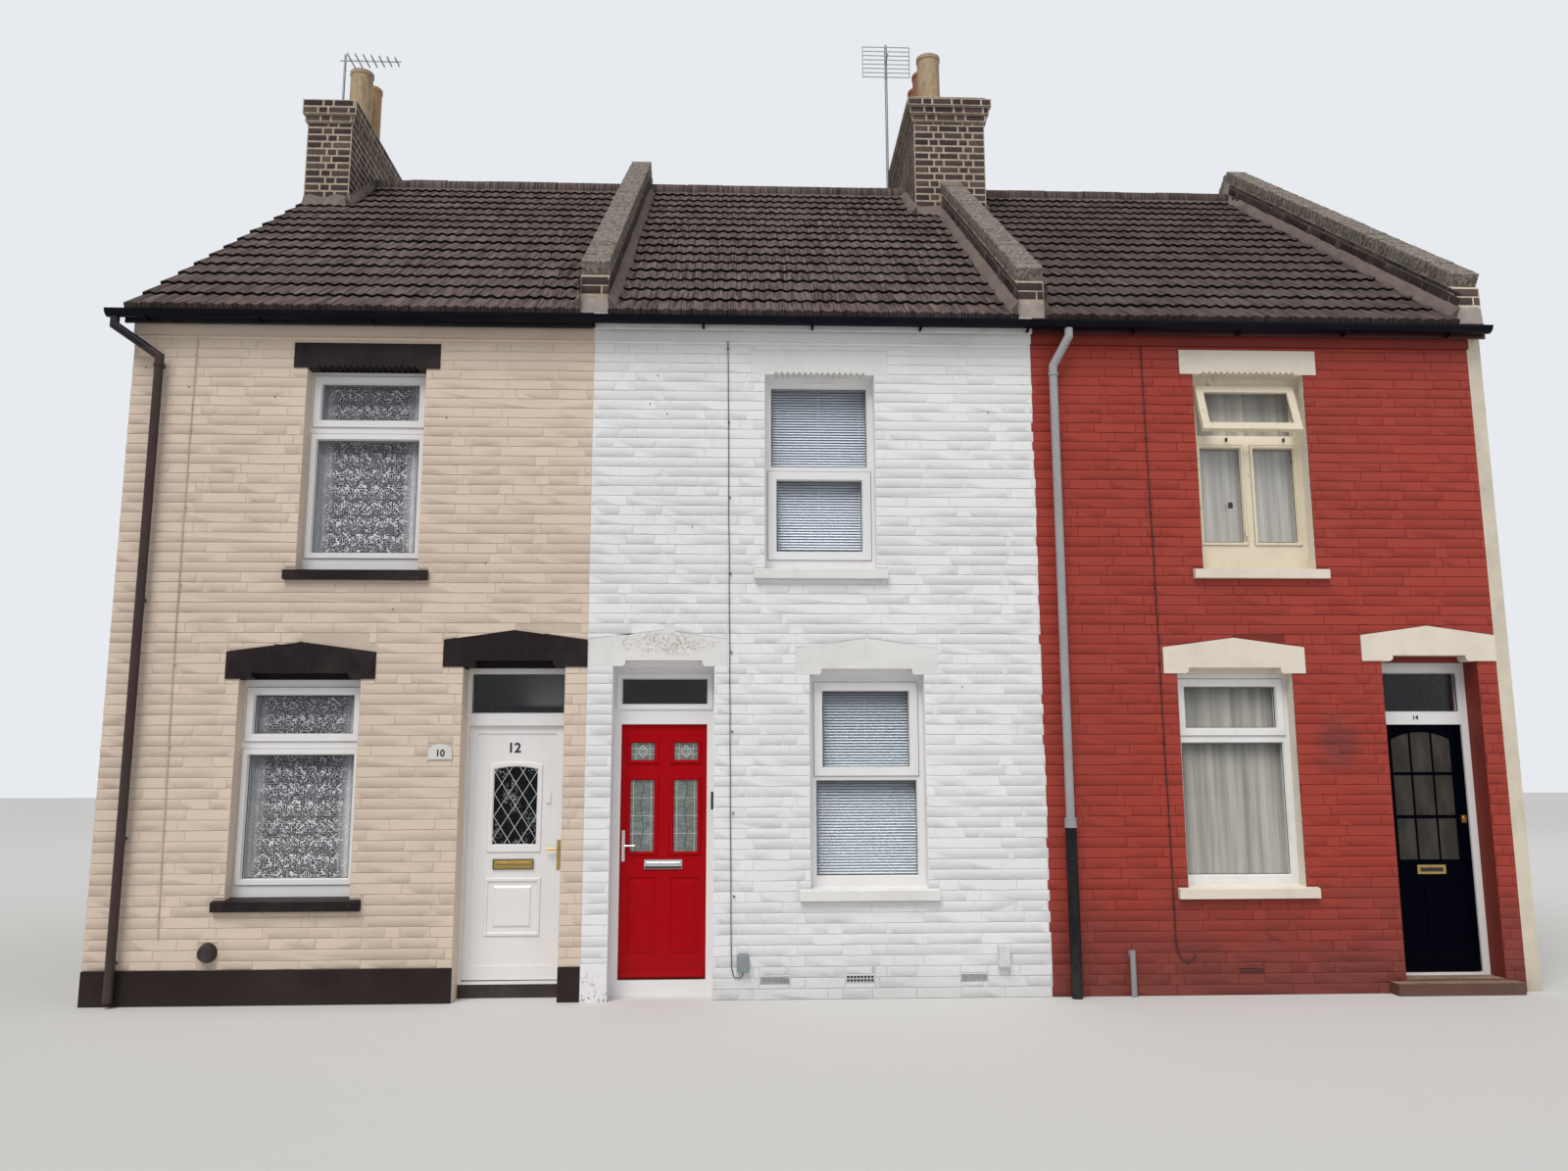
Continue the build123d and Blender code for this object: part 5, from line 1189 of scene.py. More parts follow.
for side, label in ((-1, "front"), (1, "rear")):
    roof = bmesh.new()
    for bay, (x0, x1) in enumerate(BAYS):
        sheet, outward = tile_sheet(x0, x1, side, 30 + bay + 5 * side)
        without_stacks(sheet)
        # the flat underside lies 15 cm under the plane of the slope
        close_back(sheet, lambda at: -outward * ((at - Vector((0, 0, RIDGE))).dot(outward) + 0.15))
        merge_into(roof, sheet)
    piece(f"{label}_roof_tiles", roof, "tiles",
          stands_for=(f"{label}_roof_slopes",), smooth=40)

# Ridge: half-round tiles butted together on a bed of mortar
RIDGE_RADIUS = 0.12
RIDGE_LENGTH = 0.45
RIDGE_JOINT = 0.012
ridge = bmesh.new()
bed = bmesh.new()
ridge_chance = random.Random(71)
tone = ridge.faces.layers.float.new("brick")
for x0, x1 in ((GABLE_STACK[1], BAYS[0][1]), (BAYS[1][0], PARTY_STACK[0]),
               (PARTY_STACK[1], BAYS[2][1])):
    count = max(1, round((x1 - x0) / RIDGE_LENGTH))
    length = (x1 - x0) / count
    for number in range(count):
        made = rod(ridge, RIDGE_RADIUS, length - RIDGE_JOINT, 28)
        value = ridge_chance.uniform(0.35, 0.8)
        for face in faces_of(made):
            face[tone] = value
        turn_by(ridge, made, math.pi / 2, "Y")
        turn_by(ridge, made, ridge_chance.uniform(-0.012, 0.012), "Z")
        high = RIDGE - 0.042 + ridge_chance.uniform(-0.004, 0.004)
        bmesh.ops.translate(ridge, vec=(x0 + (number + 0.5) * length, 0, high), verts=made)
    cuboid(bed, (x0, -0.118, RIDGE - 0.15), (x1, 0.118, RIDGE - 0.062))
    cuboid(bed, (x0, -0.07, RIDGE - 0.07), (x1, 0.07, RIDGE + 0.05))
bmesh.ops.bisect_plane(ridge, geom=list(ridge.verts) + list(ridge.edges) + list(ridge.faces),
                       plane_co=(0, 0, RIDGE - 0.075), plane_no=(0, 0, -1), clear_outer=True)
bmesh.ops.holes_fill(ridge, edges=border_of(ridge))
bmesh.ops.recalc_face_normals(ridge, faces=list(ridge.faces))
piece("ridge_tile_row", ridge, "tiles", stands_for=("ridge_tiles",), smooth=40)
piece("ridge_bed", bed, "fillets")

# Parapets: brick-on-edge copings, brick sides, and a mortar fillet where they meet the tiles
COPING_PITCH = 0.079
COPING_HEIGHT = 0.14
PARAPET_RISE = 0.39
PARAPET_END = 4.165
PARAPET_LENGTH = PARAPET_END / math.cos(PITCH)
FILLET_LENGTH = 4.19 / math.cos(PITCH)
PARAPETS = (CREAM_WHITE, WHITE_RED, ROW_END)


def parapet_start(middle, start=0.0):
    """Where a parapet's brickwork begins down the slope: below the stack that stands on it."""
    return STACK_HALF / math.cos(PITCH) if middle == WHITE_RED else start


def parapet_sides():
    """Each side of a parapet above the tiles, on both slopes."""
    for middle in PARAPETS:
        for side in (-1, 1):
            if middle != ROW_END or side < 0:
                for slope in (-1, 1):
                    yield middle, side, slope


def laid_block(bm, size, slope, skew=0.0):
    """A block turned to lie along a roof slope, then skewed about the upright."""
    made = bmesh.ops.create_cube(bm, size=1.0)["verts"]
    bmesh.ops.scale(bm, vec=size, verts=made)
    turn_by(bm, made, -slope * PITCH, "X")
    if skew:
        turn_by(bm, made, skew, "Z")
    return made


copings = bmesh.new()
coping_bed = bmesh.new()
MORTAR_SETBACK = 0.012
tone = copings.faces.layers.float.new("brick")
coping_chance = random.Random(81)
bed_length = PARAPET_LENGTH - MORTAR_SETBACK
for middle in PARAPETS:
    for side in (-1, 1):
        down = slope_axes(side)[0]
        top = Vector((middle, 0, RIDGE + PARAPET_RISE - COPING_HEIGHT / 2))
        count = int(PARAPET_LENGTH / COPING_PITCH)
        pitch = PARAPET_LENGTH / count
        for number in range(count):
            if middle == WHITE_RED and (number + 1) * pitch * math.cos(PITCH) < STACK_HALF:
                continue
            width = 2 * HALF_PARTY + coping_chance.uniform(-0.004, 0.004)
            made = laid_block(copings, (width, pitch - 0.009, COPING_HEIGHT * math.cos(PITCH)),
                              side, coping_chance.uniform(-0.012, 0.012))
            shift = Vector((coping_chance.uniform(-0.003, 0.003), 0,
                            coping_chance.uniform(-0.004, 0.003)))
            bmesh.ops.translate(copings, vec=top + down * (number + 0.5) * pitch + shift,
                                verts=made)
            value = coping_chance.random()
            for face in faces_of(made):
                face[tone] = value
        start = parapet_start(middle)
        made = laid_block(coping_bed, (2 * HALF_PARTY - MORTAR_SETBACK, bed_length - start,
                                       (COPING_HEIGHT - 0.01) * math.cos(PITCH)), side)
        low = Vector((middle, 0, RIDGE + PARAPET_RISE - COPING_HEIGHT / 2 - MORTAR_SETBACK / 2))
        bmesh.ops.translate(coping_bed, vec=low + down * (bed_length + start) / 2, verts=made)
round_edges(copings, 0.006)
piece("coping_bricks", copings, "coping", stands_for=("parapet_copings",),
      smooth=40)
piece("coping_joints", coping_bed, "sooty_joints")

# Brick sides of the parapets above the tiles, and their ends over the gutter
sides = bmesh.new()
for middle, side, slope in parapet_sides():
    # a slanting strip of bricks: X runs down the slope, Y squarely off the tiles
    bm = bmesh.new()
    height = (PARAPET_RISE - COPING_HEIGHT) * math.cos(PITCH)
    lay_bricks(bm, (parapet_start(middle), 0, PARAPET_LENGTH, height), (), 0.079,
               500 + 3 * side + slope)
    raise_bricks(bm, 0.010, 0.006, 0.005, 600 + side + slope, 0.002)
    down, up = slope_axes(slope)
    turn = turned((middle + side * HALF_PARTY, 0, RIDGE), down, (side, 0, 0), up)
    bmesh.ops.transform(bm, matrix=turn, verts=list(bm.verts))
    bmesh.ops.recalc_face_normals(bm, faces=list(bm.faces))
    merge_into(sides, bm)
END_FACE = -PARAPET_END
aprons = bmesh.new()
for middle in PARAPETS:
    end = turned((middle - HALF_PARTY, END_FACE, 0), (1, 0, 0), (0, -1, 0))
    merge_into(sides, brick_face(end, (0, 5.53, 2 * HALF_PARTY, 5.684), course=0.077,
                                 joint=0.012, seed=int(70 + middle)))
    chance = random.Random(int(5 + middle))
    apron = bmesh.new()
    cuboid(apron, (-1, 0, 0), (1, 1, 1))
    bmesh.ops.subdivide_edges(apron, edges=list(apron.edges), cuts=5, use_grid_fill=True)
    for vert in apron.verts:
        across, deep, up = vert.co
        half = HALF_PARTY + 0.035 * (1 - up) ** 2 - 0.004
        x = min(middle + across * half + chance.uniform(-0.006, 0.006), PARTY_FACE)
        out = 0.04 - 0.055 * (1 - deep) * (1 - 0.35 * up) + chance.uniform(-0.005, 0.005)
        vert.co = (x, END_FACE + out, 5.335 + 0.21 * up)
    merge_into(aprons, apron)
piece("parapet_aprons", aprons, "mortar", smooth=50)
piece("parapet_side_bricks", sides, "sooty_bricks", smooth=45)


FILLET_WIDTH = 0.062
FILLET_HEIGHT = 0.085


def fillet(bm, x, lean, slope, start, seed, length=FILLET_LENGTH):
    """A rough mortar wedge along a parapet or a stack, laid on the tiles."""
    chance = random.Random(seed)
    count = max(8, round(length * 6.5))
    down, up = slope_axes(slope)
    # a cube made and cleared first sets the order in which the rows' corners come back
    made = bmesh.ops.create_cube(bm, size=1.0)["verts"]
    bmesh.ops.delete(bm, geom=made, context="VERTS")
    ring = [bm.verts.new((0, 0, 0)) for _ in range(4)]
    faces = [bm.faces.new(ring)]
    rows = [ring]
    for number in range(count):
        grown = bmesh.ops.extrude_face_region(bm, geom=faces)["geom"]
        rows.append(only(grown, bmesh.types.BMVert))
        if number:
            bmesh.ops.delete(bm, geom=faces, context="FACES_ONLY")
        faces = only(grown, bmesh.types.BMFace)
    order = ((-0.02, -0.06), (1.0, -0.06), (0.9, 0.25), (-0.02, 1.0))
    for number, row in enumerate(rows):
        s = start + (length - start) * number / count
        swell = chance.uniform(0.88, 1.12)
        for (across, off), vert in zip(order, row):
            wide = FILLET_WIDTH * swell * across * (1 + 0.15 * chance.uniform(-1, 1) * (across > 0.5))
            thick = FILLET_HEIGHT * off * (1 + 0.12 * chance.uniform(-1, 1) * (off > 0))
            vert.co = Vector((x + lean * wide, 0, RIDGE)) + down * s + up * thick


fillets = bmesh.new()
for middle, side, slope in parapet_sides():
    fillet(fillets, middle + side * HALF_PARTY, side, slope, parapet_start(middle, 0.1),
           90 + int(middle) + side + 3 * slope)
for x0, x1 in (GABLE_STACK, PARTY_STACK):
    for x, lean in ((x0, -1), (x1, 1)):
        if x != GABLE:
            for slope in (-1, 1):
                fillet(fillets, x, lean, slope, 0.02, 140 + int(10 * x) + slope,
                       length=(STACK_HALF + 0.06) / math.cos(PITCH))
    for side in (-1, 1):
        # the apron at the foot of the stack: a wedge between its face and the tiles
        chance = random.Random(int(100 * x1) + side)
        wedge = bmesh.new()
        cuboid(wedge, (x0 - (x0 != GABLE) * 0.03, 0, 0), (x1 + 0.03, 1, 1))
        along = [e for e in wedge.edges if abs(e.verts[0].co.x - e.verts[1].co.x) > 0.1]
        bmesh.ops.subdivide_edges(wedge, edges=along, cuts=7, use_grid_fill=True)
        for vert in wedge.verts:
            out, up = round(vert.co.y), round(vert.co.z)
            reach = 0.11 * (1 - up) + chance.uniform(-0.01, 0.01) if out else -0.02
            rise = 0.10 + chance.uniform(-0.012, 0.012) if up else -0.07 - 0.09 * out
            vert.co.y = side * (STACK_HALF + reach)
            vert.co.z = roof_at_face + rise
        merge_into(fillets, wedge)
bmesh.ops.recalc_face_normals(fillets, faces=list(fillets.faces))
piece("parapet_fillets", fillets, "fillets", smooth=60)


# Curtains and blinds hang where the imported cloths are
def gathered(name, left, right, low, high, y, pleats, depth, seed, finish, node):
    """A gathered curtain: a sheet whose folds run down from its heading."""
    chance = random.Random(seed)
    steps, rows = pleats * 8, 24
    bm = bmesh.new()
    uv = bm.loops.layers.uv.new("cloth")
    to_side = bm.verts.layers.float.new("fold")
    verts = bmesh.ops.create_grid(bm, x_segments=steps, y_segments=rows, size=0.5)["verts"]
    phases = [chance.uniform(-0.6, 0.6) for _ in range(pleats + 2)]
    sizes = [chance.uniform(0.55, 1.0) for _ in range(pleats + 2)]
    where = {}
    for index, vert in enumerate(verts):
        u = (index % (steps + 1)) / steps
        v = (index // (steps + 1)) / rows
        fold = u * pleats
        whole = int(fold)
        part = fold - whole
        size = sizes[whole] * (1 - part) + sizes[whole + 1] * part
        phase = phases[whole] * (1 - part) + phases[whole + 1] * part
        sway = 0.45 * math.sin(3.1 * v + phase)
        wave = math.sin(2 * math.pi * (fold + 0.12 * sway))
        x = left + (right - left) * u + depth * 0.4 * size * math.sin(4 * math.pi * fold) * 0.3
        ease = 0.35 + 0.65 * (1 - v) ** 0.5 + 0.1 * math.sin(7 * v + phase)
        vert.co = (min(max(x, left), right), y + depth / 2 * size * min(ease, 1.0) * wave,
                   low + (high - low) * v)
        where[vert] = (u, v)
        vert[to_side] = abs(2 * u - 1)
    spent = sum(e.calc_length() for e in bm.edges
                if abs(where[e.verts[0]][1]) < 1e-6 and abs(where[e.verts[1]][1]) < 1e-6)
    for face in bm.faces:
        for loop in face.loops:
            u, v = where[loop.vert]
            loop[uv].uv = (u * spent, v * (high - low))
    area = sum(f.calc_area() for f in bm.faces)
    made = piece(name, bm, finish, stands_for=(node,), smooth=80)


CLOTH_FRONT, CLOTH_BACK = -3.903, -3.887
cloth_y = (CLOTH_FRONT + CLOTH_BACK) / 2
for name, pleats in (("cream_ground", 13), ("cream_upper", 13)):
    left, right, sill, head = WINDOWS[name]
    gathered(name + "_net", left + 0.004, right - 0.004, sill + 0.004, head - 0.006, cloth_y,
             pleats, 0.013, 40 + pleats + len(name), "lace", "net_curtains")
for name, start, end, pleats, ahead, deep in (("red_ground", 0.0, 1.0, 11, 0.0, 0.015),
                                              ("red_upper", 0.0, 0.53, 6, -0.004, 0.007),
                                              ("red_upper", 0.48, 1.0, 6, 0.004, 0.007)):
    left, right, sill, head = WINDOWS[name]
    wide = right - left
    gathered(f"{name}_curtain_{int(start * 10)}", left + 0.004 + wide * start,
             left + wide * end - 0.004, sill + 0.004, head - 0.006, cloth_y + ahead, pleats, deep,
             60 + pleats + int(10 * start), "pleats", "pleated_curtains")

SLAT_PITCH = 0.0225
# The slats are white; the blue tint of both and the upper blind's lighter tone are painted reflection
# in the glass before them.
for name, paint, angle in (("white_ground", (0.68, 0.73, 0.78), 44),
                           ("white_upper", (0.84, 0.88, 0.95), 49)):
    finishes["slat"] = plain_paint(name + "_slats", paint, (0.4, 0.38, 0.35), 0.04, 0.0, 0.4, 6.0,
                                   0.0001)
    left, right, sill, head = WINDOWS[name]
    blind = bmesh.new()
    cuboid(blind, (left + 0.006, CLOTH_FRONT - 0.004, head - 0.034),
           (right - 0.006, CLOTH_BACK + 0.006, head - 0.004))
    cuboid(blind, (left + 0.008, CLOTH_FRONT, sill + 0.006),
           (right - 0.008, CLOTH_BACK, sill + 0.018))
    z = sill + 0.03
    tilt = Matrix.Rotation(math.radians(angle), 3, "X")
    while z < head - 0.04:
        cuboid(blind, (left + 0.008, cloth_y - 0.0115, z),
               (right - 0.008, cloth_y + 0.0115, z + 0.0014), tilt)
        z += SLAT_PITCH
    for share in (0.12, 0.5, 0.88):
        x = left + (right - left) * share
        for y in (CLOTH_FRONT + 0.0005, CLOTH_BACK - 0.0005):
            cuboid(blind, (x - 0.0008, y - 0.0005, sill + 0.018),
                   (x + 0.0008, y + 0.0005, head - 0.034))
    piece(name + "_blind", blind, "slat", stands_for=("venetian_blinds",))


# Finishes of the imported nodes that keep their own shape, and of the walls behind the bricks
for finish, nodes in {
        "cream_joints": "cream_wall_lower cream_wall_upper",
        "white_joints": "white_wall_lower white_wall_upper",
        "red_joints": "red_wall_lower red_wall_upper",
        "stock_joints": "gable_wall rear_wall_lower rear_wall_upper",
        "party_end": "end_party_wall",
        "sooty_joints": "cream_white_party_wall white_red_party_wall gable_chimney party_chimney",
        "stone": "front_lintels window_sills",
        "rear_stone": "rear_lintels",
        "plastic": "cream_window_frames white_window_frames rear_window_frames cream_door_frame "
                   "white_door_frame cream_door_leaf rear_doors",
        "red_frames": "red_window_frames",
        "red_frame_door": "red_door_frame",
        "red_skin": "white_house_red_leaf",
        "navy": "red_house_navy_leaf",
        "glass": "window_glass",
        "cream_leaf_glass": "cream_leaf_glass",
        "red_leaf_glass": "red_leaf_glass",
        "navy_leaf_glass": "navy_leaf_glass",
        "brass": "cream_door_furniture navy_leaf_furniture",
        "chrome": "red_leaf_furniture",
        "fascia": "fascias",
        "gutter": "gutters",
        "pipes": "downpipes",
        "plinth": "cream_plinth",
        "fittings": "wall_fittings",
        "steel": "roof_aerials",
        "clay": "chimney_pots",
        "quarry": "ground_floors",
        "boards": "upper_floors",
        "steps": "door_steps"}.items():
    for node in nodes.split():
        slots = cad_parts[node].data.materials
        for index in range(len(slots)):
            slots[index] = finishes[finish]


def surround(bm, outer, inner, front, back):
    """Four bars between two rectangles (left, low, right, high), one inside the other."""
    for left, low, right, high in ((outer[0], outer[1], inner[0], outer[3]),
                                   (inner[2], outer[1], outer[2], outer[3]),
                                   (inner[0], outer[1], inner[2], inner[1]),
                                   (inner[0], inner[3], inner[2], outer[3])):
        cuboid(bm, (left, front, low), (right, back, high))


# Window gaskets: a dark seal round each thin pane of the street's windows, against the frame
SEAL = 0.0045
gaskets = bmesh.new()
for low, high in solids_of("window_glass"):
    if low.y <= 0 and high.z - low.z <= 2 and high.y - low.y <= 0.05:
        surround(gaskets, (low.x, low.z, high.x, high.z),
                 (low.x + SEAL, low.z + SEAL, high.x - SEAL, high.z - SEAL),
                 low.y - 0.0012, low.y + 0.001)
piece("window_gaskets", gaskets, "gasket")

# Painted shadow: dark lines in the black rubber finish round the casements
FRAME_FACE, CASEMENT_FACE = -3.98, -3.992
SEAM = 0.006
lines = bmesh.new()
for node in ("cream_window_frames", "white_window_frames", "red_window_frames"):
    bm = packed(node)
    faces = [f for f in bm.faces if all(abs(v.co.y - CASEMENT_FACE) < 1e-4 for v in f.verts)]
    while faces:
        queue = [faces.pop()]
        corners = []
        while queue:
            face = queue.pop()
            corners += [v.co.copy() for v in face.verts]
            near = [f for f in faces_of(face.verts) if f in faces]
            faces = [f for f in faces if f not in near]
            queue += near
        x0, x1 = min(c.x for c in corners), max(c.x for c in corners)
        z0, z1 = min(c.z for c in corners), max(c.z for c in corners)
        surround(lines, (x0 - SEAM, z0 - SEAM, x1 + SEAM, z1 + SEAM), (x0, z0, x1, z1),
                 FRAME_FACE - 0.0012, FRAME_FACE + 0.001)
    bm.free()
piece("casement_shadow_lines", lines, "gasket")

# Trickle vents, and the rest that the walls and the doors carry
vents = bmesh.new()
for name in ("white_ground", "white_upper"):
    left, right, sill, head = WINDOWS[name]
    middle = (left + right) / 2
    cuboid(vents, (middle - 0.14, FRAME_FACE - 0.009, head - 0.05),
           (middle + 0.14, FRAME_FACE + 0.001, head - 0.034))
    cuboid(vents, (middle - 0.135, FRAME_FACE - 0.011, head - 0.046),
           (middle + 0.135, FRAME_FACE - 0.005, head - 0.038))
round_edges(vents, 0.0015)
piece("trickle_vents", vents, "plastic")


def air_brick(name, rect, columns, rows, finish):
    """A plate with small holes, set flush in the painted bricks; the floors of the holes take the
    black finish, painted shade of the void behind.
    """
    x0, z0, x1, z1 = rect
    bm = bmesh.new()
    bmesh.ops.create_grid(bm, x_segments=columns, y_segments=rows, size=0.5)
    for vert in bm.verts:
        vert.co = (x0 + 0.008 + (vert.co.x + 0.5) * (x1 - x0 - 0.016),
                   FRONT - 0.006, z0 + 0.008 + (vert.co.y + 0.5) * (z1 - z0 - 0.016))
    cells = list(bm.faces)
    bmesh.ops.recalc_face_normals(bm, faces=cells)
    if cells[0].normal.y > 0:
        bmesh.ops.reverse_faces(bm, faces=cells)
    width = min((x1 - x0 - 0.016) / columns, (z1 - z0 - 0.016) / rows)
    bmesh.ops.inset_individual(bm, faces=cells, thickness=width * 0.17, depth=0.0)
    bmesh.ops.inset_individual(bm, faces=cells, thickness=0.0005, depth=-0.005)
    # Hole floors in the black finish: painted shade of the void behind the plate.
    for cell in cells:
        cell.material_index = 1
    middle = Vector(((x0 + x1) / 2, 0, (z0 + z1) / 2))
    close_back(bm, lambda at: Vector((math.copysign(0.008, at.x - middle.x), 0.0055,
                                      math.copysign(0.008, at.z - middle.z))))
    piece(name, bm, [finish, "gasket"])


for number, (rect, columns, rows) in enumerate(zip(WHITE_AIR_BRICKS, (22, 8, 22), (6, 2, 6))):
    air_brick(f"air_brick_{number}", rect, columns, rows, "white_bricks")
air_brick("air_brick_3", RED_AIR_BRICK, 9, 2, "red_bricks")


SADDLE_PITCH = 0.62
WIRE_Y = FRONT - 0.0115


def cable(name, points, radius, finish, seed, saddles):
    """A cable along the wall through points (x, z, how far out), a little uneven.

    saddles says where the uppermost of its eight saddles sits, and how far each of the next
    ones stands to the right of the one above it: (x, z, step).
    """
    chance = random.Random(seed)
    bm = bmesh.new()
    points = [Vector((x, WIRE_Y - out, z)) for x, z, out in points]
    run = []
    for start, end in zip(points, points[1:]):
        count = max(1, round((end - start).length / 0.25))
        run += [start.lerp(end, n / count) + Vector((chance.uniform(-0.002, 0.002), 0, 0))
                for n in range(count)]
    tube(bm, run + [points[-1]], radius, 6)
    first_x, first_z, step = saddles
    for number in range(8):
        x, z = first_x + step * number, first_z - SADDLE_PITCH * number
        cuboid(bm, (x - 0.008, FRONT - 0.017, z - 0.004), (x + 0.008, FRONT - 0.004, z + 0.004))
    piece(name, bm, finish, smooth=50)


cable("white_house_cable",
      [(-0.702, 5.19, 0), (-0.690, 3.9, 0), (-0.672, 1.9, 0), (-0.658, 0.36, 0),
       (-0.655, 0.24, 0), (-0.635, 0.17, 0), (-0.600, 0.16, 0), (-0.572, 0.18, 0.008),
       (-0.568, 0.21, 0.01)], 0.0035, "gasket", 3, (-0.702, 5.1, 0.0092))
cable("red_house_cable",
      [(2.708, 5.22, 0), (2.728, 3.0, 0), (2.748, 0.42, 0), (2.755, 0.33, 0), (2.785, 0.268, 0),
       (2.83, 0.25, 0), (2.873, 0.265, 0), (2.893, 0.305, 0)], 0.0042, "gasket", 4,
      (2.71, 5.0, 0.005))
cable("cream_house_cable", [(-4.946, 5.15, 0), (-4.952, 4.2, 0), (-4.944, 2.6, 0),
                            (-4.905, 0.47, 0)], 0.0035, "cream_bricks", 5, (-4.95, 5.0, 0.0045))

fixings = bmesh.new()
for x, z in ((-5.338, 4.892), (-4.989, 4.733), (-4.309, 4.659), (-1.27, 4.87), (-1.19, 4.55),
             (-0.98, 3.62), (-1.33, 4.63), (1.42, 4.58), (-3.3, 2.95), (-2.6, 3.32), (1.15, 2.35),
             (2.28, 4.6), (4.6, 3.4), (-2.95, 4.5)):
    made = rod(fixings, 0.005, 0.009, 10, 0.0035)
    turn_by(fixings, made, math.pi / 2, "X")
    bmesh.ops.translate(fixings, vec=(x, FRONT - 0.007, z), verts=made)
piece("wall_plugs", fixings, "gasket")

brackets = bmesh.new()
for number in range(13):
    x = -5.3 + number * 0.88
    cuboid(brackets, (x - 0.011, -4.262, 5.247), (x + 0.011, -4.226, 5.257))
    cuboid(brackets, (x - 0.009, -4.232, 5.235), (x + 0.009, -4.184, 5.252))
piece("gutter_brackets", brackets, "gutter")


def digits(name, text, at, height, body):
    """Raised house numbers."""
    curve = bpy.data.curves.new(name, "FONT")
    curve.body = text
    curve.size = height / 0.7
    curve.extrude = 0.0012
    curve.offset = 0.035 * height
    words = stand(name, curve)
    bpy.context.view_layer.update()
    flat = bpy.data.meshes.new_from_object(words)
    bm = bmesh.new()
    bm.from_mesh(flat)
    bpy.data.objects.remove(words)
    bmesh.ops.remove_doubles(bm, verts=list(bm.verts), dist=1e-6)
    turn_by(bm, list(bm.verts), math.pi / 2, "X")
    bmesh.ops.translate(bm, vec=at, verts=list(bm.verts))
    piece(name, bm, "gasket", body)


digits("cream_door_number", "12", (-2.421, -3.8845, 1.849), 0.074, "cream_door")
digits("red_house_number", "14", (4.855, -3.9165, 2.095), 0.036, "row")
digits("plate_number", "10", (-2.925, -4.1132, 1.818), 0.05, "row")


def bar(bm, xa, za, xb, zb, y, half, finish=0):
    """A flat lead between two points of a door leaf's pane."""
    length = math.hypot(xb - xa, zb - za) / 2
    centre = Vector(((xa + xb) / 2, y, (za + zb) / 2))
    reach = Vector((length, 0.0007, half))
    made = cuboid(bm, centre - reach, centre + reach,
                  Matrix.Rotation(-math.atan2(zb - za, xb - xa), 3, "Y"))
    for face in faces_of(made):
        face.material_index = finish


# Where the leads lie on the glass of the doors, and the lattice of the cream door's pane
PANE_FACE = -3.8828
PANE = (-2.515, -2.181, 1.142, 1.737)
ARCH, MIDDLE = 0.649, -2.348
lattice = bmesh.new()
for lean in (-1, 1):
    for number in range(-9, 10):
        inside = []
        for step in range(161):
            x = PANE[0] + (PANE[1] - PANE[0]) * step / 160
            z = 1.44 + lean * (x - MIDDLE) * 1.56 + number * 0.17
            top = PANE[3] - ARCH + math.sqrt(ARCH ** 2 - (x - MIDDLE) ** 2)
            if PANE[2] < z < top:
                inside.append((x, z))
        if len(inside) > 3:
            bar(lattice, *inside[0], *inside[-1], PANE_FACE - 0.0002 * lean, 0.0019)
piece("cream_leaf_lattice", lattice, "pale_lead", "cream_door")

# Leading in the red leaf's panes: pale lines and lozenges, dark stems in the tall ones
LOZENGE_Z = 1.8535
leading = bmesh.new()
for x0, x1 in ((-1.451, -1.269), (-1.111, -0.929)):
    for z0, z1, rows, edge in ((1.08, 1.63, 4, 0.12), (1.787, 1.92, 3, 0.2)):
        for number in range(1, rows):
            z = z0 + (z1 - z0) * number / rows
            bar(leading, x0, z, x1, z, PANE_FACE - 0.0001, 0.0018)
        for share in (edge, 1 - edge):
            x = x0 + (x1 - x0) * share
            bar(leading, x, z0, x, z1, PANE_FACE - 0.0004, 0.0018)
    middle = (x0 + x1) / 2
    for size, wide in ((1.0, 0.0034), (0.45, 0.0022)):
        for xa, za, xb, zb in ((0, 0.048, 0.04, 0), (0.04, 0, 0, -0.048), (0, -0.048, -0.04, 0),
                               (-0.04, 0, 0, 0.048)):
            bar(leading, middle + xa * size, LOZENGE_Z + za * size, middle + xb * size,
                LOZENGE_Z + zb * size, PANE_FACE - 0.0007, wide)
    stem = [(middle + 0.012 * math.sin(n * 1.3 + x0), 1.1 + 0.07 * n) for n in range(8)]
    for number, (start, end) in enumerate(zip(stem, stem[1:])):
        bar(leading, *start, *end, PANE_FACE - 0.0007, 0.0028, 1)
        side = 1 if number % 2 else -1
        bar(leading, *end, end[0] + side * 0.035, end[1] + 0.045, PANE_FACE - 0.001, 0.0012, 1)
piece("red_leaf_leading", leading, ["pale_lead", "lead"], "red_door_of_white_house")

# Coupler where the grey pipe enters the black one
coupler = bmesh.new()
for radius, low, high in ((0.0455, 1.262, 1.335), (0.0495, 1.262, 1.276), (0.048, 1.325, 1.335),
                          (0.0475, 1.02, 1.04)):
    made = rod(coupler, radius, high - low, 32)
    bmesh.ops.translate(coupler, vec=(1.95, -4.172, (low + high) / 2), verts=made)
round_edges(coupler, 0.0015, [e for e in coupler.edges if e.calc_face_angle(0) > 1])
piece("pipe_coupler", coupler, "pipes", smooth=40)

# Painted shadow: dark strips for the slots of the letter plates, and for the thin gaps round the
# cream door's flap
for name, body, front, back, boxes in (
        ("red_leaf_slot", "red_door_of_white_house", -3.9032, -3.9015,
         [(-1.334, 0.951, -1.046, 0.968)]),
        ("navy_leaf_slot", "navy_door_of_red_house", -3.9032, -3.9015,
         [(4.832, 0.892, 5.015, 0.922)]),
        ("cream_leaf_slot", "cream_door", -3.8960, -3.8945,
         [(-2.505, 0.95, -2.191, 0.956), (-2.505, 1.024, -2.191, 1.030),
          (-2.505, 0.956, -2.499, 1.024), (-2.197, 0.956, -2.191, 1.024),
          (-2.485, 0.9855, -2.211, 0.9885)])):
    slots = bmesh.new()
    for left, low, right, high in boxes:
        cuboid(slots, (left, front, low), (right, back, high))
    piece(name, slots, "gasket", body)

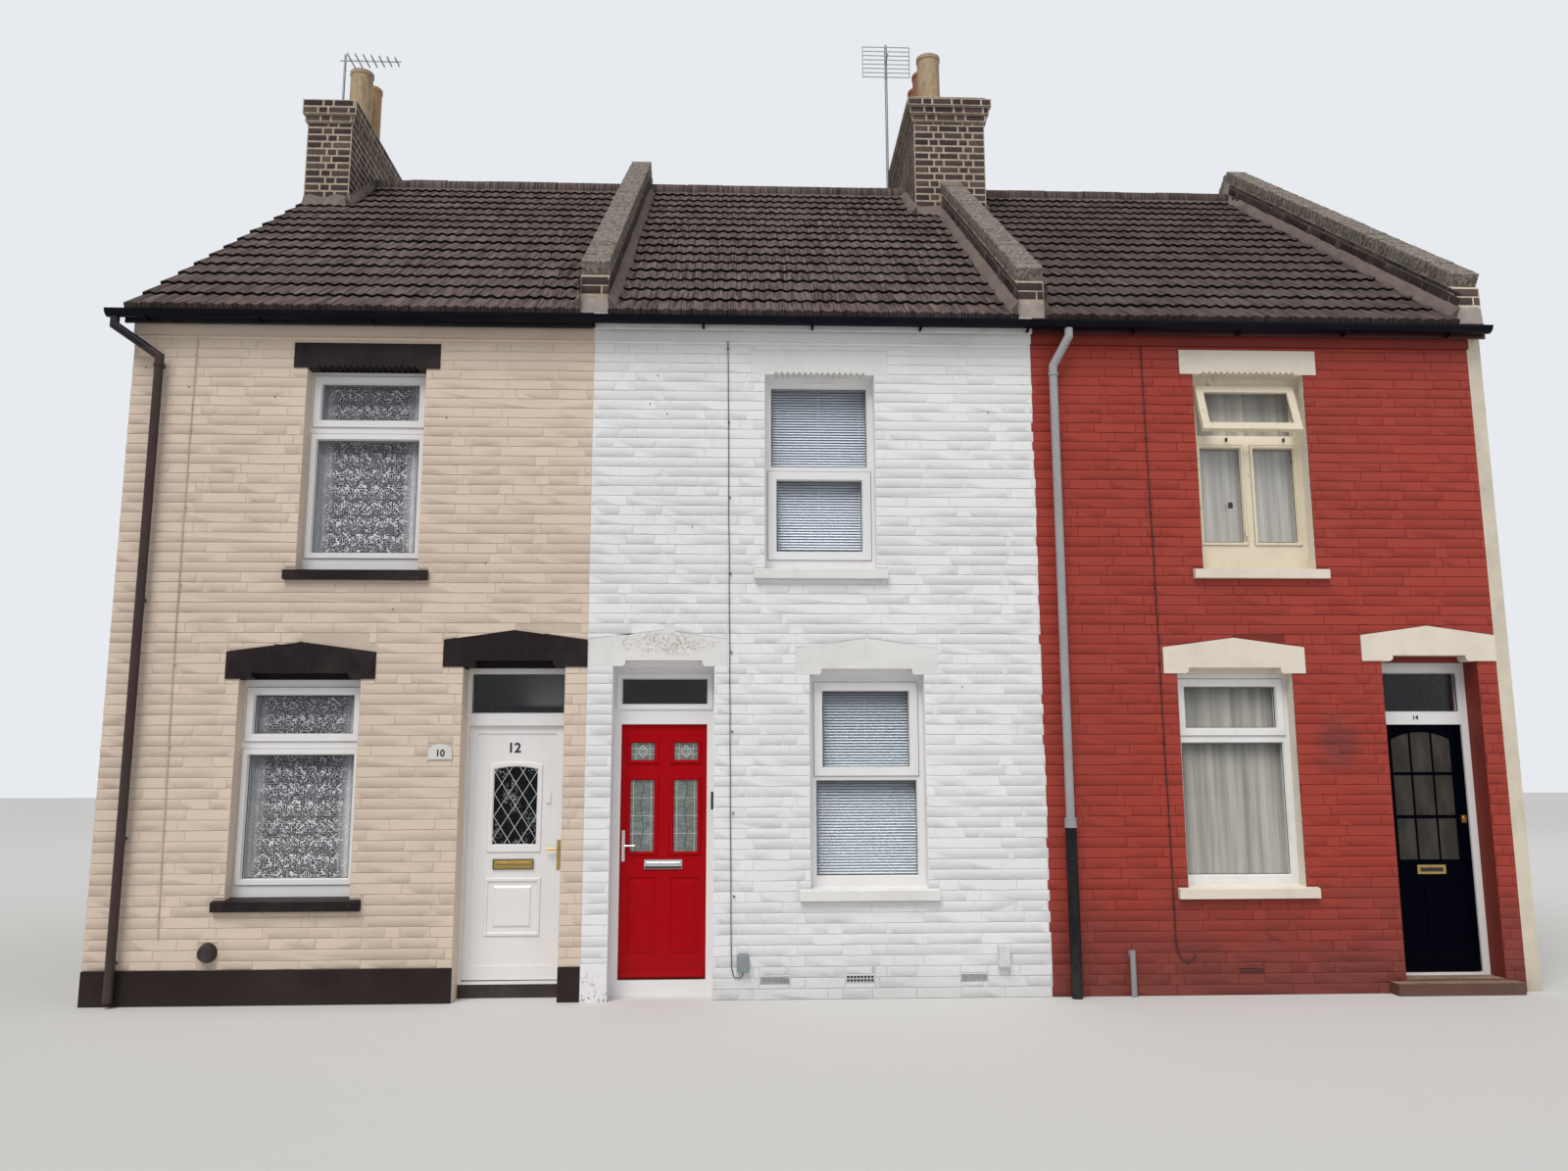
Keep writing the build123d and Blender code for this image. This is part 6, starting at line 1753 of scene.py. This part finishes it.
stays = bmesh.new()
for x in (3.424, 3.907):
    cuboid(stays, (x - 0.006, -4.02, 4.382), (x + 0.006, -3.99, 4.415))
cuboid(stays, (3.412, -3.999, 3.82), (3.448, -3.99, 3.87))
round_edges(stays, 0.002)
piece("window_stays", stays, "gasket")

# Floor, lights and the camera at the photograph's place
floor_mesh = bmesh.new()
bmesh.ops.create_grid(floor_mesh, x_segments=1, y_segments=1, size=60.0)
mesh = bpy.data.meshes.new("studio_floor")
floor_mesh.to_mesh(mesh)
floor_mesh.free()
floor = stand("studio_floor", mesh)
floor_finish = finish_of("studio_floor", 0.85)
fill(shader_of(floor_finish)["Base Color"], (0.62, 0.61, 0.59))
mesh.materials.append(floor_finish)

world = bpy.data.worlds.new("studio")
world.use_nodes = True
work_on(world.node_tree)
sky = TREE.nodes["Background"]
fill(sky.inputs[0], (0.84, 0.91, 1.0))
fill(sky.inputs[1], 0.42)
seen = add("Background", {0: (0.80, 0.83, 0.87)})
ray = add("LightPath").outputs["Is Camera Ray"]
shown = add("MixShader", {0: ray, 1: sky.outputs[0], 2: seen.outputs[0]})
fill(TREE.nodes["World Output"].inputs["Surface"], shown.outputs[0])
bpy.context.scene.world = world


def area_light(name, at, aim, size, power):
    lamp = bpy.data.lights.new(name, "AREA")
    lamp.energy = power
    lamp.size = size
    made = stand(name, lamp)
    made.location = at
    made.rotation_euler = (Vector(aim) - Vector(at)).to_track_quat("-Z", "Y").to_euler()


area_light("fill", (12.0, -16.0, 9.0), (1.0, -4.0, 3.0), 9.0, 300.0)
area_light("back", (4.0, 20.0, 12.0), (0.0, 4.0, 3.0), 12.0, 1000.0)
sun_data = bpy.data.lights.new("high_sun", "SUN")
sun_data.energy = 2.2
sun_data.angle = math.radians(32)
sun_data.color = (1.0, 0.975, 0.94)
sun = stand("high_sun", sun_data)
sun.rotation_euler = Vector((0.28, 0.62, -1.0)).to_track_quat("-Z", "Y").to_euler()

camera_data = bpy.data.cameras.new("street_view")
camera_data.sensor_width = 36.0
camera_data.lens = 27.0
camera_data.clip_end = 300.0
camera = stand("street_view", camera_data)
yaw, pitch, roll = math.radians(2.317), math.radians(8.768), math.radians(-0.156)
ahead = Vector((math.sin(yaw) * math.cos(pitch), math.cos(yaw) * math.cos(pitch),
                math.sin(pitch)))
level = Vector((math.cos(yaw), -math.sin(yaw), 0))
upward = level.cross(ahead)
right = math.cos(roll) * level + math.sin(roll) * upward
upward = -math.sin(roll) * level + math.cos(roll) * upward
looking = Matrix((right, upward, -ahead)).transposed().to_4x4()
looking.translation = (-0.623, -13.3, 1.73)
camera.matrix_world = looking
bpy.context.scene.camera = camera
bpy.context.scene.view_settings.view_transform = "Standard"
